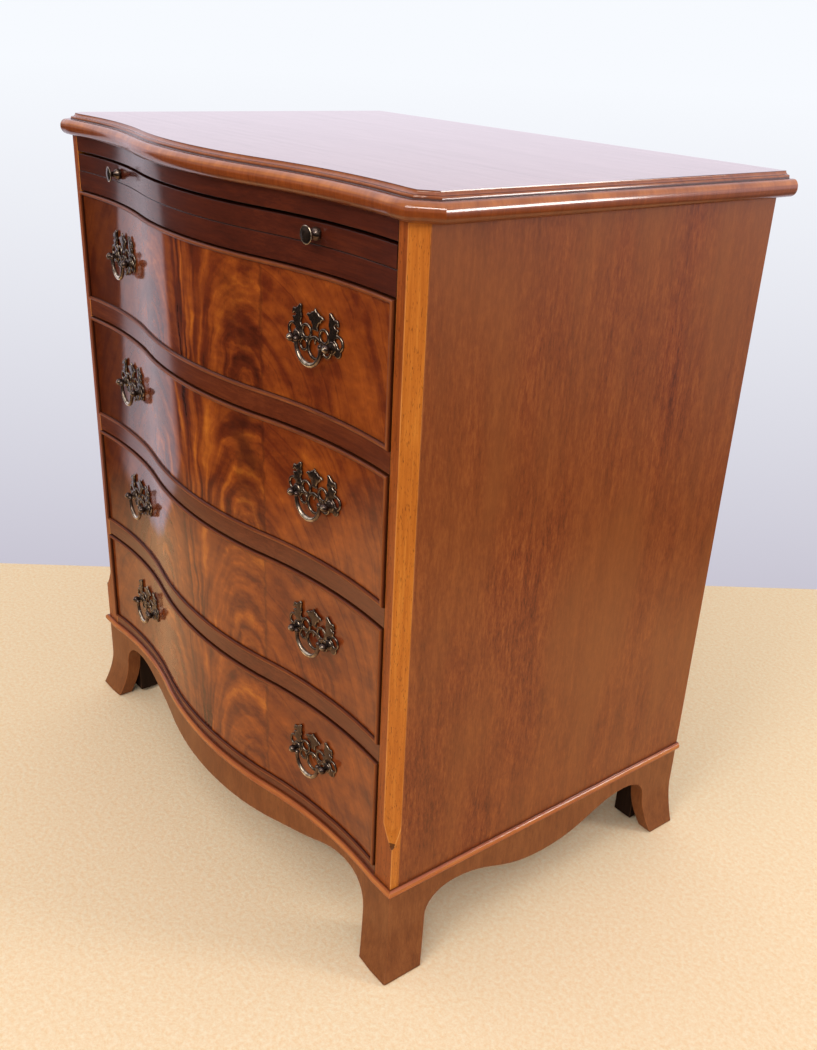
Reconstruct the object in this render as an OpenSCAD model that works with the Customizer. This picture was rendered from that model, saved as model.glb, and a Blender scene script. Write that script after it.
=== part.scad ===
// Serpentine chest of four long drawers with a brushing slide, in millimetres.
// The front faces -Y, +X is to the right and +Z is up.
// The origin is on the floor, under the middle of the whole piece.

/* [Case] */
// Width across the side panels
case_w = 650; // [600:2:720]
// Depth from the drawer faces beside the posts to the back edge of the sides
case_d = 427; // [400:1:480]
// Thickness of the side panels
side_t = 18; // [16:1:22]
// Thickness of the back panel
back_t = 8; // [5:1:10]
// Distance that the back panel stands in from the back edges
back_inset = 2; // [0:0.5:6]
// Width of the back panel's rebate in each side
back_rebate = 8; // [5:1:10]
// Thickness of the bottom board
bottom_t = 20; // [16:1:24]
// Height of the frieze rail under the top
frieze_h = 16.5; // [14:0.5:24]

/* [Serpentine front] */
// Radius of the bowed middle and of the two hollow ends
serp_r = 535; // [480:5:700]
// Distance from the middle to the deepest point of each hollow end
hollow_x = 241; // [225:1:255]

/* [Corner posts] */
// Width of each post's flat front face
post_face = 11; // [8:1:14]
// Width of the post's canted corner, seen from the front
cant_w = 15; // [12:1:18]
// Depth of the canted corner, seen from the side
cant_d = 10; // [8:1:14]
// Depth of the post's tongue behind the side panel's front edge
post_tongue = 20; // [14:1:30]
// Height of the square foot of the post, under the end of the cant
stop_h = 57.5; // [40:0.5:70]
// Length over which the cant tapers into its stop
stop_len = 24; // [16:1:36]

/* [Top] */
// Thickness of the top
top_t = 22; // [20:1:26]
// Overhang of the moulded edge past the sides
top_side_over = 14; // [10:1:20]
// Overhang of the moulded edge past the drawer faces
top_front_over = 10; // [7:1:16]
// Overhang of the top past the back edge of the sides
top_back_over = 10; // [0:1:20]
// Width of the moulded edge, seen from above
top_mould_w = 16; // [14:1:20]
// Size of the canted front corners, on the upper surface
top_cant = 12; // [8:1:18]

/* [Drawers] */
// Height of each drawer opening
drawer_open_h = 124; // [116:1:140]
// Height of the rails between the drawers
rail_t = 20; // [16:1:24]
// Depth of the front rails, from the drawer faces beside the posts
rail_d = 70; // [60:1:90]
// Clearance at each side of a drawer
drawer_side_gap = 1; // [0.6:0.1:1.5]
// Clearance under a drawer
drawer_under_gap = 0.3; // [0.2:0.1:0.5]
// Clearance above a drawer front
drawer_top_gap = 1.2; // [0.8:0.1:2]
// Thickness of the drawer fronts
front_t = 20; // [18:1:24]
// Thickness of the drawer sides
drawer_side_t = 10; // [8:1:12]
// Clearance between the drawer sides and the back panel
drawer_back_gap = 22; // [10:1:60]
// Depth left in front of the lapped drawer sides
lap_d = 12; // [11:0.5:13]
// Distance that the drawer sides stop short of the top of the front
side_drop = 6; // [3:1:12]
// Thickness of the drawer backs
drawer_back_t = 10; // [8:1:12]
// Distance from the drawer back to the ends of the drawer sides
back_in = 5; // [3:1:10]
// Distance that a drawer back stops short of the top of the sides
back_drop = 6; // [3:1:12]
// Thickness of the drawer bottoms
panel_t = 5; // [4:0.5:6]
// Height of the groove for the drawer bottom above the lower edge
groove_z = 8; // [7.5:0.5:10]
// Depth of the groove for the drawer bottom
groove_d = 4; // [3:0.5:5]
// Clearance of the drawer bottom in its groove
groove_gap = 0.2; // [0.1:0.1:0.4]

/* [Cockbead] */
// Visible width of the cockbead around each drawer front
bead_w = 4; // [3:0.5:5]
// Distance that the cockbead stands proud of the front
bead_out = 3; // [2:0.5:4]
// Depth that the cockbead is let into the front
bead_in = 9; // [6:0.5:10]

/* [Runners] */
// Width of the drawer runners
runner_w = 28; // [20:1:36]
// Height of the drawer guides
guide_h = 20; // [14:1:30]
// Distance of the drawer stops from the middle
stop_x = 150; // [100:1:180]
// Length of a drawer stop along the front
stop_w = 30; // [20:1:40]
// Height of a drawer stop
stop_t = 6; // [4:0.5:7]
// Depth of a drawer stop
stop_d = 18; // [12:1:24]
// Clearance between a stop and the closed drawer front
stop_gap = 0.3; // [0.2:0.1:0.5]

/* [Brushing slide] */
// Height of the slide's opening
slide_open_h = 21; // [20:0.5:26]
// Height of the rail under the slide
slide_rail_t = 21; // [16:1:26]
// Thickness of the slide
slide_t = 18; // [15:0.5:18.5]
// Depth of the slide's front lipping
lip_d = 25; // [18:1:32]
// Clearance between the slide and the back panel
slide_back_gap = 32; // [10:1:80]
// Diameter of the knob's face
knob_d = 15.5; // [13:0.5:17]
// Distance that the knobs stand out
knob_out = 14; // [12:0.5:18]
// Diameter of the knob's shank
shank_d = 4; // [3:0.5:5]
// Depth of the knob's shank in the lipping
shank_in = 16; // [10:1:17]
// Radial clearance of the knob's shank
shank_gap = 0.1; // [0.05:0.05:0.2]

/* [Handles] */
// Distance of the handles and the knobs from the middle
handle_x = 190; // [180:1:200]
// Height of the handle's pivots above the middle of the drawer
handle_rise = 3.5; // [0:0.5:10]
// Distance between the two posts of a handle
handle_centres = 48; // [46:1:50]
// Width of the pierced backplate
plate_w = 75; // [72:1:80]
// Thickness of the backplate
plate_t = 1.6; // [1.2:0.1:2]
// Distance of the bail's pivot from the backplate's rear face
pivot_out = 8.2; // [8:0.1:10]
// Diameter of the ball at the end of each post
ball_d = 8; // [7.5:0.5:9]
// Diameter of the post's bolt
bolt_d = 4; // [3.5:0.5:4.5]
// Radial clearance of the bolt in the drawer front
bolt_gap = 0.2; // [0.1:0.1:0.4]
// Diameter of the bail's pivot pins
pin_d = 2.4; // [2:0.1:2.8]
// Radial clearance of the pins in the posts
pin_gap = 0.05; // [0.03:0.01:0.08]
// Depth of the pins in the posts
pin_in = 3; // [2:0.5:4]
// Width of the bail between the middles of its legs
bail_w = 33; // [31:0.5:34]
// Drop of the bail from its pivots to the middle of its lower bend
bail_drop = 19; // [17.5:0.5:24]
// Diameter of the bail's rod in its bend
rod_d = 4.2; // [3.6:0.1:4.6]

/* [Base] */
// Height of the plinth with its feet
plinth_h = 103.5; // [100:0.5:115]
// Thickness of the plinth boards
plinth_t = 18; // [15:1:20]
// Height of the base moulding
mould_h = 9; // [7:0.5:11]
// Projection of the base moulding
mould_out = 4.5; // [3:0.5:6]
// Width of a front foot's two faces at its ankle
ankle_w = 46; // [42:1:54]
// Width of a rear foot's face at its ankle
rear_ankle_w = 50; // [46:1:58]
// Distance that the feet splay out at the floor
splay = 12; // [6:1:14]
// Height over which the feet splay
splay_h = 54; // [46:1:56]
// Height of the front apron's lower edge at the middle
apron_mid = 60; // [57:1:64]
// Height of the front apron's arches
apron_peak = 90; // [80:1:94]
// Height of the side aprons' lower edge at the middle
side_apron_mid = 55; // [54:1:62]
// Height of the side aprons' arches
side_apron_peak = 82.5; // [74:0.5:90]
// Size of the square glue blocks behind the feet
block_w = 25; // [16:1:30]
// Height of the glue blocks above the floor
block_lift = 5; // [3:1:20]

/* [Hidden] */

$fn = 48;
DRAWERS = 4;
// Straight steps on each half of the serpentine
STEPS = 24;

mahogany = "#6b3018";
dark_mahogany = "#4f2012";
light_post = "#b5702a";
drawer_timber = "#c9a878";
brass = "#6e5532";

// Places along X
half_w = case_w / 2;
inner_w = half_w - side_t;
open_w = half_w - post_face - cant_w;

// Places along Y
back_y = case_d - back_inset - back_t;
drawer_len = back_y - drawer_back_gap;
slide_len = back_y - slide_back_gap;
post_d = cant_d + post_tongue;

// Places along Z
function open_z(i) = plinth_h + bottom_t + (DRAWERS - i) * (drawer_open_h + rail_t);
slide_rail_z = open_z(1) + drawer_open_h;
slide_z = slide_rail_z + slide_rail_t;
frieze_z = slide_z + slide_open_h;
case_top = frieze_z + frieze_h;

// Sag of the serpentine's arcs, and the drawer faces' line from them
function sag(d) = serp_r - sqrt(serp_r * serp_r - d * d);
hollow = sag(open_w - hollow_x);
bulge = 2 * sag(hollow_x / 2) - hollow;
function arc_y(a) = a < hollow_x / 2 ? sag(a) - bulge : hollow - sag(a - hollow_x);
function face_y(x) =
    let (step = open_w / STEPS, a = min(abs(x), open_w), i = min(floor(a / step), STEPS - 1))
    let (t = a / step - i)
    (1 - t) * arc_y(i * step) + t * arc_y((i + 1) * step);
function stations(w) = concat(
    [-w], [for (i = [-STEPS:STEPS]) if (abs(i) * open_w / STEPS < w - 0.01) i * open_w / STEPS], [w]);

// The whole depth runs from the top's bowed edge to its back edge, with the origin midway
mid_y = (case_d + top_back_over - bulge - top_front_over) / 2;
module place() translate([0, -mid_y, 0]) children();
module mirrored(side) mirror([side < 0 ? 1 : 0, 0, 0]) children();

function bezier(p, t) =
    pow(1 - t, 3) * p[0] + 3 * t * pow(1 - t, 2) * p[1] + 3 * t * t * (1 - t) * p[2] + pow(t, 3) * p[3];

// The area behind the serpentine line moved back by f, as far as a straight back edge
module bowed_area(w, f, back) {
    seam = hollow_x / 2;
    y0 = f - bulge - 1;
    intersection() {
        translate([0, f - bulge + serp_r]) circle(serp_r, $fn = 720);
        translate([-seam, y0]) square([2 * seam, back - y0]);
    }
    for (side = [-1, 1]) mirror([side < 0 ? 1 : 0, 0]) {
        difference() {
            translate([seam, y0]) square([min(w, open_w) - seam, back - y0]);
            translate([hollow_x, f + hollow - serp_r]) circle(serp_r, $fn = 720);
        }
        if (w > open_w) translate([open_w, f]) square([w - open_w, back - f]);
    }
}

// A board between two heights, with a bowed front and a straight back
module bowed_board(w, f, back, z0, z1)
    translate([0, 0, z0]) linear_extrude(z1 - z0) bowed_area(w, f, back);

// A band between two copies of the serpentine line
module bowed_band(w, f0, f1, z0, z1)
    translate([0, 0, z0]) linear_extrude(z1 - z0) difference() {
        bowed_area(w, f0, f1 + hollow + 5);
        bowed_area(w + 1, f1, f1 + hollow + 6);
    }

module box(x0, x1, y0, y1, z0, z1) translate([x0, y0, z0]) cube([x1 - x0, y1 - y0, z1 - z0]);

// Case

// Section of the top's moulded edge, from below: [outward, up]
function top_section() = [for (q = concat([[0, 0], [0.72, 0]],
    [for (a = [-45:22.5:90]) [0.66 + 0.34 * cos(a), 0.38 + 0.39 * sin(a)]],
    [[0.28, 0.8], [0.25, 0.855], [0.13, 0.89], [0.04, 0.95], [0, 1]])) [q[0] * top_mould_w, q[1] * top_t]];

// Outline of the top, p outside its upper surface, from the back left corner round to the back right
function top_path(p) =
    let (x = half_w + top_side_over - top_mould_w, y = top_mould_w - top_front_over)
    let (cx = x - top_cant + p * tan(22.5))
    concat([[-x - p, case_d + top_back_over], [-x - p, y + x - cx]],
        [for (s = stations(cx)) [s, face_y(s) + y - p]],
        [[x + p, y + x - cx], [x + p, case_d + top_back_over]]);

module top() color(mahogany) place() {
    translate([0, 0, case_top]) linear_extrude(top_t) polygon(top_path(0));
    sweep([for (s = top_section()) [for (q = top_path(s[0])) [q[0], q[1], case_top + s[1]]]]);
}

// Moulding through equal rows of points, one row for each point of its section, with flat ends
module sweep(rows) {
    n = len(rows[0]);
    m = len(rows);
    polyhedron(
        points = [for (r = rows) each r],
        faces = concat(
            [for (k = [0:m - 1], i = [0:n - 2]) let (l = (k + 1) % m) each [
                [k * n + i, l * n + i + 1, k * n + i + 1], [k * n + i, l * n + i, l * n + i + 1]]],
            [[for (k = [m - 1:-1:0]) k * n], [for (k = [0:m - 1]) k * n + n - 1]]));
}

// Closed solid through rings of equal length, the first ring on top and anticlockwise seen from above
module loft(rings) {
    n = len(rings[0]);
    m = len(rings);
    polyhedron(
        points = [for (r = rings) each r],
        faces = concat(
            [[for (i = [n - 1:-1:0]) i]],
            [for (k = [0:m - 2], i = [0:n - 1]) let (j = (i + 1) % n) each [
                [k * n + i, k * n + j, (k + 1) * n + j], [k * n + i, (k + 1) * n + j, (k + 1) * n + i]]],
            [[for (i = [0:n - 1]) (m - 1) * n + i]]));
}

module side_panel(side) color(mahogany) place() mirrored(side) difference() {
    box(inner_w, half_w, cant_d, case_d, plinth_h, case_top);
    box(inner_w - 1, inner_w + back_rebate, back_y, case_d + 1, plinth_h - 1, case_top + 1);
}

// The wedge that cuts the cant, full above its stop and tapering down to the stop's point
function cant_ring(k, z) = [[half_w - k * cant_w, 0, z], [half_w - k * cant_w, -1, z], [half_w + 1, -1, z],
    [half_w + 1, k * cant_d, z], [half_w, k * cant_d, z]];
module cant_cutter() loft(concat([cant_ring(1, case_top + 1)],
    [for (k = [1:-1 / 8:0.1]) cant_ring(k, plinth_h + stop_h + stop_len * pow(k, 1.4))]));

module corner_post(side) color(light_post) place() mirrored(side) difference() {
    translate([0, 0, plinth_h]) linear_extrude(case_top - plinth_h)
        polygon([[open_w, 0], [half_w, 0], [half_w, cant_d], [inner_w, cant_d],
            [inner_w, post_d], [open_w, post_d]]);
    cant_cutter();
}

module back_panel() color(dark_mahogany) place()
    box(-inner_w - back_rebate, inner_w + back_rebate, back_y, back_y + back_t, plinth_h, case_top);

module front_rail(z, t) color(mahogany) place() bowed_board(open_w, 0, rail_d, z, z + t);
module frieze_rail() front_rail(frieze_z, frieze_h);
module slide_rail() front_rail(slide_rail_z, slide_rail_t);
module divider_rail(i) front_rail(open_z(i) - rail_t, rail_t);

module bottom_board() color(mahogany) place() {
    bowed_board(open_w, 0, post_d, plinth_h, plinth_h + bottom_t);
    box(-inner_w, inner_w, post_d, back_y, plinth_h, plinth_h + bottom_t);
}

// Tops of the runners: under the slide and under every drawer but the lowest, which runs on the bottom board
runner_tops = concat([slide_z], [for (i = [1:DRAWERS - 1]) open_z(i)]);

module runners() color(drawer_timber) place()
    for (side = [-1, 1], z = runner_tops) mirrored(side)
        box(inner_w - runner_w, inner_w, rail_d, back_y, z - rail_t, z);

module guides() color(drawer_timber) place() for (side = [-1, 1]) mirrored(side) {
    for (i = [1:DRAWERS]) box(open_w, inner_w, post_d, back_y, open_z(i), open_z(i) + guide_h);
    box(open_w, inner_w, post_d, back_y, slide_z, frieze_z);
}

module drawer_stops() color(drawer_timber) place()
    for (side = [-1, 1], i = [1:DRAWERS]) mirrored(side) {
        y = max(face_y(stop_x - stop_w / 2), face_y(stop_x + stop_w / 2)) + front_t + stop_gap;
        box(stop_x - stop_w / 2, stop_x + stop_w / 2, y, y + stop_d, open_z(i), open_z(i) + stop_t);
    }

// Brushing slide

// Frame square to the serpentine face at a distance x from the middle
module on_face(x)
    translate([x, face_y(x), 0]) rotate([0, 0, atan2(face_y(x + 12) - face_y(x - 12), 24)]) children();

slide_w = open_w - drawer_side_gap;
slide_z0 = slide_z + drawer_under_gap;
slide_z1 = slide_z0 + slide_t;
knob_z = slide_z0 + slide_t / 2;

module slide_board() color(mahogany) place() bowed_board(slide_w, lip_d, slide_len, slide_z0, slide_z1);

module slide_lipping() color(mahogany) place() difference() {
    bowed_band(slide_w, 0, lip_d, slide_z0, slide_z1);
    for (side = [-1, 1]) mirrored(side) on_face(handle_x) translate([0, 0, knob_z])
        rotate([-90, 0, 0]) translate([0, 0, -5]) cylinder(d = shank_d + 2 * shank_gap, h = shank_in + 5.5);
}

// Profile of a knob from its face back to the end of its shank: [radius, distance out]
function knob_profile() = [
    [0, knob_out], [0.3 * knob_d, knob_out - 0.2], [0.47 * knob_d, knob_out - 1],
    [0.5 * knob_d, knob_out - 1.8], [0.47 * knob_d, knob_out - 2.6], [0.2 * knob_d, knob_out - 4], [0.17 * knob_d, 7.5], [0.3 * knob_d, 6.6],
    [0.36 * knob_d, 5.2], [0.3 * knob_d, 3.8], [0.19 * knob_d, 3], [0.2 * knob_d, 1.6], [0.34 * knob_d, 1.2],
    [0.36 * knob_d, 0.5], [0.36 * knob_d, 0.3], [shank_d / 2, 0.3], [shank_d / 2, -shank_in], [0, -shank_in]];

module slide_knobs() color(brass) place() for (side = [-1, 1]) mirrored(side) on_face(handle_x)
    translate([0, 0, knob_z]) rotate([90, 0, 0]) rotate_extrude() polygon(knob_profile());

// Drawers

drawer_w = open_w - drawer_side_gap;
front_h = drawer_open_h - drawer_under_gap - drawer_top_gap;
side_h = front_h - side_drop;
function drawer_z(i) = open_z(i) + drawer_under_gap;
panel_z = groove_z + groove_gap / 2;

module drawer_front(i) color(mahogany) place() translate([0, 0, drawer_z(i)]) difference() {
    union() {
        bowed_band(drawer_w - bead_w, 0, bead_in + 1, bead_w, front_h - bead_w);
        bowed_band(drawer_w, bead_in, front_t, 0, front_h);
    }
    for (side = [-1, 1]) mirrored(side) {
        box(drawer_w - drawer_side_t, drawer_w + 1, lap_d, front_t + hollow + 1, -1, side_h);
        for (u = [-1, 1]) in_handle(front_h / 2 + handle_rise) translate([u * handle_centres / 2, 5, 0])
            rotate([-90, 0, 0]) translate([0, 0, -10]) cylinder(r = bolt_d / 2 + bolt_gap, h = front_t + 20);
    }
    bowed_band(drawer_w - drawer_side_t, front_t - groove_d, front_t + 1,
        groove_z, groove_z + panel_t + groove_gap);
}

module bead_ring(f0, f1) difference() {
    bowed_band(drawer_w, f0, f1, 0, front_h);
    bowed_band(drawer_w - bead_w, f0 - 1, f1 + 1, bead_w, front_h - bead_w);
}

module drawer_cockbead(i) color(dark_mahogany) place()
    translate([0, 0, drawer_z(i)]) bead_ring(-bead_out, bead_in);

module drawer_sides(i) color(drawer_timber) place() translate([0, 0, drawer_z(i)])
    for (side = [-1, 1]) mirrored(side) difference() {
        box(drawer_w - drawer_side_t, drawer_w, lap_d, drawer_len, 0, side_h);
        box(drawer_w - drawer_side_t - 1, drawer_w - drawer_side_t + groove_d, lap_d - 1, drawer_len + 1,
            groove_z, groove_z + panel_t + groove_gap);
    }

drawer_back_y = drawer_len - back_in - drawer_back_t;

module drawer_back(i) color(drawer_timber) place() translate([0, 0, drawer_z(i)])
    box(-drawer_w + drawer_side_t, drawer_w - drawer_side_t, drawer_back_y, drawer_back_y + drawer_back_t,
        panel_z + panel_t + groove_gap / 2, side_h - back_drop);

module drawer_bottom(i) color(drawer_timber) place() translate([0, 0, drawer_z(i)]) {
    w = drawer_w - drawer_side_t;
    back = drawer_back_y + drawer_back_t;
    bowed_board(w - groove_gap, front_t - groove_d + groove_gap, back, panel_z, panel_z + panel_t);
    for (side = [-1, 1]) mirrored(side)
        box(w - 1, w + groove_d - groove_gap, front_t + hollow, back, panel_z, panel_z + panel_t);
}

// Handles

// The backplate is flat and bridges the hollow drawer face, so its frame lies on the chord of its two ends
plate_a = handle_x - plate_w / 2;
plate_b = handle_x + plate_w / 2;
handle_turn = atan2(face_y(plate_b) - face_y(plate_a), plate_w);
handle_y = min([for (x = [plate_a:2:plate_b]) face_y(x) - (x - handle_x) * tan(handle_turn)]);
PLATE_SEAT = 0.15;

// Frame of the right handle: X along the backplate, -Y outward, with the pivots at height z
module in_handle(z) translate([handle_x, handle_y - PLATE_SEAT, z]) rotate([0, 0, handle_turn]) children();

function pivot_z(i) = drawer_z(i) + front_h / 2 + handle_rise;

module ring2d(r, hole) difference() {
    circle(r);
    circle(hole);
}

// Half of the pierced pattern, for x of 0 and more; its numbers are those of a plate 75 wide
k = plate_w / 75;
module plate_half() {
    // seat of the post, the pointed wing above it, and the lobe and the outer loop beside it
    translate([handle_centres / 2, 0]) circle(0.8 * ball_d);
    polygon(k * [[15, 10], [17, 24], [18.6, 27], [22.4, 26.6], [26, 24],
        [31, 22.8], [31.4, 18], [29.5, 11], [27, 4], [19, 3.5]]);
    translate(k * [30, -3.5]) circle(k * 4.6);
    translate(k * [30.3, 4.5]) ring2d(k * 7.2, k * 4.6);
    // shoulder scroll and the lower scroll that meets the middle ring
    translate(k * [11.8, 6.5]) ring2d(k * 7, k * 4.5);
    translate(k * [15.5, -5.5]) ring2d(k * 6.2, k * 3.8);
    // shield-shaped crest on its neck
    polygon(k * [[0, 29], [3, 26.2], [6, 24.4], [12.4, 21.6],
        [10.8, 17], [8.4, 15], [6.9, 11.4], [4.6, 9], [0, 9]]);
    // tip that hangs into the middle ring
    polygon(k * [[0, 5], [2.6, 4.2], [0, -3.2]]);
}

module plate_outline() {
    plate_half();
    mirror([1, 0]) plate_half();
    translate(k * [0, -6.2]) ring2d(k * 10.8, k * 7.9);
}

module backplates(i) color(brass) place() for (side = [-1, 1]) mirrored(side) in_handle(pivot_z(i))
    rotate([90, 0, 0]) linear_extrude(plate_t) difference() {
        plate_outline();
        for (u = [-1, 1]) translate([u * handle_centres / 2, 0]) circle(bolt_d / 2 + bolt_gap);
    }

// Half-profile of a post along its bolt: collar, neck and shank.
// Each point is [radius, distance out of the plate's rear face]
function post_profile() = [
    [0, pivot_out], [0.29 * ball_d, pivot_out], [0.27 * ball_d, plate_t + 3], [0.42 * ball_d, plate_t + 1.8],
    [0.62 * ball_d, plate_t + 1.2], [0.66 * ball_d, plate_t + 0.1], [bolt_d / 2, plate_t + 0.1],
    [bolt_d / 2, -front_t - 6], [0, -front_t - 6]];

module handle_post(u) difference() {
    union() {
        rotate([90, 0, 0]) rotate_extrude() polygon(post_profile());
        translate([0, -pivot_out, 0]) rotate([90, 0, 0]) rotate([0, 0, 90]) sphere(d = ball_d);
        translate([0, front_t + 1.6, 0]) rotate([-90, 0, 0]) cylinder(d = 2 * bolt_d, h = 3, $fn = 6);
    }
    translate([-u * ball_d / 2, -pivot_out, 0]) rotate([0, u * 90, 0])
        translate([0, 0, -1]) cylinder(r = pin_d / 2 + pin_gap, h = pin_in + 1.2);
}

module handle_posts(i) color(brass) place() for (side = [-1, 1]) mirrored(side) in_handle(pivot_z(i))
    for (u = [-1, 1]) translate([u * handle_centres / 2, 0, 0]) handle_post(u);

// Hanging bail about its pivot line: eyes with pins, two legs and a round bend
module bail(i, side) color(brass) place() mirrored(side) in_handle(pivot_z(i)) translate([0, -pivot_out, 0]) {
    r = bail_w / 2;
    for (u = [-1, 1]) {
        translate([u * r, 0, 0]) rotate([90, 0, 0]) rotate([0, 0, 45]) sphere(d = rod_d + 1);
        rotate([0, u * 90, 0]) translate([0, 0, r])
            cylinder(d = pin_d, h = handle_centres / 2 - ball_d / 2 + pin_in - r);
        translate([u * r, 0, r - bail_drop - 0.3]) cylinder(d = rod_d - 0.4, h = bail_drop - r + 0.3);
    }
    translate([0, 0, r - bail_drop]) rotate([90, 0, 0]) rotate([0, 0, 180])
        rotate_extrude(angle = 180) translate([r, 0]) circle(d = rod_d);
}

// Base

// Distance that a foot has splayed at height z
function splay_at(z) = splay * pow(max(0, 1 - z / splay_h), 1.6);
FOOT_LEVELS = [for (k = [0:7]) splay_h * (1 - k / 7)];

// Lower edge of an apron from its middle to a foot's ankle: [distance from the middle, height]
function apron_edge(span, z_mid, z_peak, lead0, lead1) =
    let (p = span - 38)
    concat(
        [for (t = [0:1 / 12:0.999])
            bezier([[0, z_mid], [lead0 * p, z_mid], [lead1 * p, z_peak], [p, z_peak]], t)],
        [for (t = [0:1 / 8:1.001])
            bezier([[p, z_peak], [span - 11, z_peak], [span, z_peak - 16], [span, splay_h]], t)]);

// The opening under an apron, drawn upright across its width
module arch(edge) polygon(concat([for (i = [len(edge) - 1:-1:1]) [-edge[i][0], edge[i][1]]], edge,
    [[edge[len(edge) - 1][0], 0], [-edge[len(edge) - 1][0], 0]]));

front_span = half_w - ankle_w;
side_span = (case_d - ankle_w - rear_ankle_w) / 2;
side_mid = ankle_w + side_span;

// A board's foot: its outline at the ankle, carried out by the splay at each height; the third number of
// each corner is its share of the splay along Y
module foot(outline) loft([for (z = concat([plinth_h], FOOT_LEVELS)) let (s = splay_at(z))
    [for (q = outline) [q[0] + s, q[1] + s * q[2], z]]]);

module plinth_front() color(mahogany) place() {
    difference() {
        bowed_band(front_span, 0, plinth_t, splay_h, plinth_h);
        translate([0, rail_d, 0]) rotate([90, 0, 0]) linear_extrude(3 * rail_d)
            arch(apron_edge(front_span, apron_mid, apron_peak, 0.84, 0.78));
    }
    y = arc_y(front_span);
    for (side = [-1, 1]) mirrored(side)
        foot([[front_span, y, -1], [open_w, 0, -1], [half_w, 0, -1],
            [half_w - plinth_t, plinth_t, -1], [open_w, plinth_t, -1], [front_span, plinth_t + y, -1]]);
}

module plinth_side(side) color(mahogany) place() mirrored(side) {
    x = half_w - plinth_t;
    difference() {
        box(x, half_w, ankle_w, case_d - rear_ankle_w, splay_h, plinth_h);
        translate([x - 1, side_mid, 0]) rotate([90, 0, 90]) linear_extrude(plinth_t + 2)
            arch(apron_edge(side_span, side_apron_mid, side_apron_peak, 0.5, 0.62));
    }
    foot([[half_w, 0, -1], [half_w, ankle_w, -1], [x, ankle_w, -1], [x, plinth_t, -1]]);
    foot([[half_w, case_d - rear_ankle_w, 1], [half_w, case_d, 0],
        [x, case_d, 0], [x, case_d - rear_ankle_w, 1]]);
}

// Shaped bracket behind each back foot, from the floor up to the bottom board
bracket_foot = rear_ankle_w - 10;
bracket_reach = 2 * rear_ankle_w + plinth_t;
module rear_brackets() color(dark_mahogany) place() for (side = [-1, 1]) mirrored(side) {
    x = half_w - plinth_t;
    outer = [for (k = [7:-1:0]) [x + splay_at(FOOT_LEVELS[k]), FOOT_LEVELS[k]]];
    inner = [for (t = [0:0.125:1])
        bezier([[x - bracket_reach, plinth_h - 12], [x - bracket_foot - 18, plinth_h - 12],
            [x - bracket_foot, splay_h + 8], [x - bracket_foot, splay_h - 24]], t)];
    translate([0, case_d, 0]) rotate([90, 0, 0]) linear_extrude(plinth_t) polygon(
        concat(outer, [[x, plinth_h], [x - bracket_reach, plinth_h]], inner, [[x - bracket_foot, 0]]));
}

module foot_blocks() color(drawer_timber) place() for (side = [-1, 1]) mirrored(side) {
    x = half_w - plinth_t;
    y = plinth_t + face_y(x - block_w);
    box(x - block_w, x, y, y + block_w, block_lift, plinth_h);
    box(x - block_w, x, case_d - plinth_t - block_w, case_d - plinth_t, block_lift, plinth_h);
}

// Outline of the moulding's path, p outside the case, from the back left corner round to the back right
function mould_path(p) = concat(
    [[-half_w - p, case_d], [-half_w - p, -p]],
    [for (x = stations(open_w)) [x, face_y(x) - p]],
    [[half_w + p, -p], [half_w + p, case_d]]);

GLUE = 0.05;

// Half-round section of the moulding: [outward, up]
function mould_section() = concat([[0, 0], [0.45 * mould_out, 0]],
    [for (a = [-60:30:60]) [mould_out * (0.4 + 0.6 * cos(a)), mould_h * (0.5 + 0.5 * sin(a))]],
    [[0.45 * mould_out, mould_h], [0, mould_h]]);

module base_moulding() color(mahogany) place()
    sweep([for (s = mould_section()) [for (q = mould_path(s[0] + GLUE)) [q[0], q[1], plinth_h + s[1]]]]);

top();
side_panel(-1);  // side_left
side_panel(1);  // side_right
corner_post(-1);  // corner_post_left
corner_post(1);  // corner_post_right
back_panel();
frieze_rail();
slide_rail();
divider_rail(1);  // divider_rail_1
divider_rail(2);  // divider_rail_2
divider_rail(3);  // divider_rail_3
bottom_board();
runners();
guides();
drawer_stops();
base_moulding();
plinth_front();
plinth_side(-1);  // plinth_left
plinth_side(1);  // plinth_right
rear_brackets();
foot_blocks();
slide_board();
slide_lipping();
slide_knobs();
drawer_front(1);  // drawer_1_front
drawer_cockbead(1);  // drawer_1_cockbead
drawer_sides(1);  // drawer_1_sides
drawer_back(1);  // drawer_1_back
drawer_bottom(1);  // drawer_1_bottom
backplates(1);  // drawer_1_backplates
handle_posts(1);  // drawer_1_handle_posts
bail(1, -1);  // drawer_1_bail_left
bail(1, 1);  // drawer_1_bail_right
drawer_front(2);  // drawer_2_front
drawer_cockbead(2);  // drawer_2_cockbead
drawer_sides(2);  // drawer_2_sides
drawer_back(2);  // drawer_2_back
drawer_bottom(2);  // drawer_2_bottom
backplates(2);  // drawer_2_backplates
handle_posts(2);  // drawer_2_handle_posts
bail(2, -1);  // drawer_2_bail_left
bail(2, 1);  // drawer_2_bail_right
drawer_front(3);  // drawer_3_front
drawer_cockbead(3);  // drawer_3_cockbead
drawer_sides(3);  // drawer_3_sides
drawer_back(3);  // drawer_3_back
drawer_bottom(3);  // drawer_3_bottom
backplates(3);  // drawer_3_backplates
handle_posts(3);  // drawer_3_handle_posts
bail(3, -1);  // drawer_3_bail_left
bail(3, 1);  // drawer_3_bail_right
drawer_front(4);  // drawer_4_front
drawer_cockbead(4);  // drawer_4_cockbead
drawer_sides(4);  // drawer_4_sides
drawer_back(4);  // drawer_4_back
drawer_bottom(4);  // drawer_4_bottom
backplates(4);  // drawer_4_backplates
handle_posts(4);  // drawer_4_handle_posts
bail(4, -1);  // drawer_4_bail_left
bail(4, 1);  // drawer_4_bail_right
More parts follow.
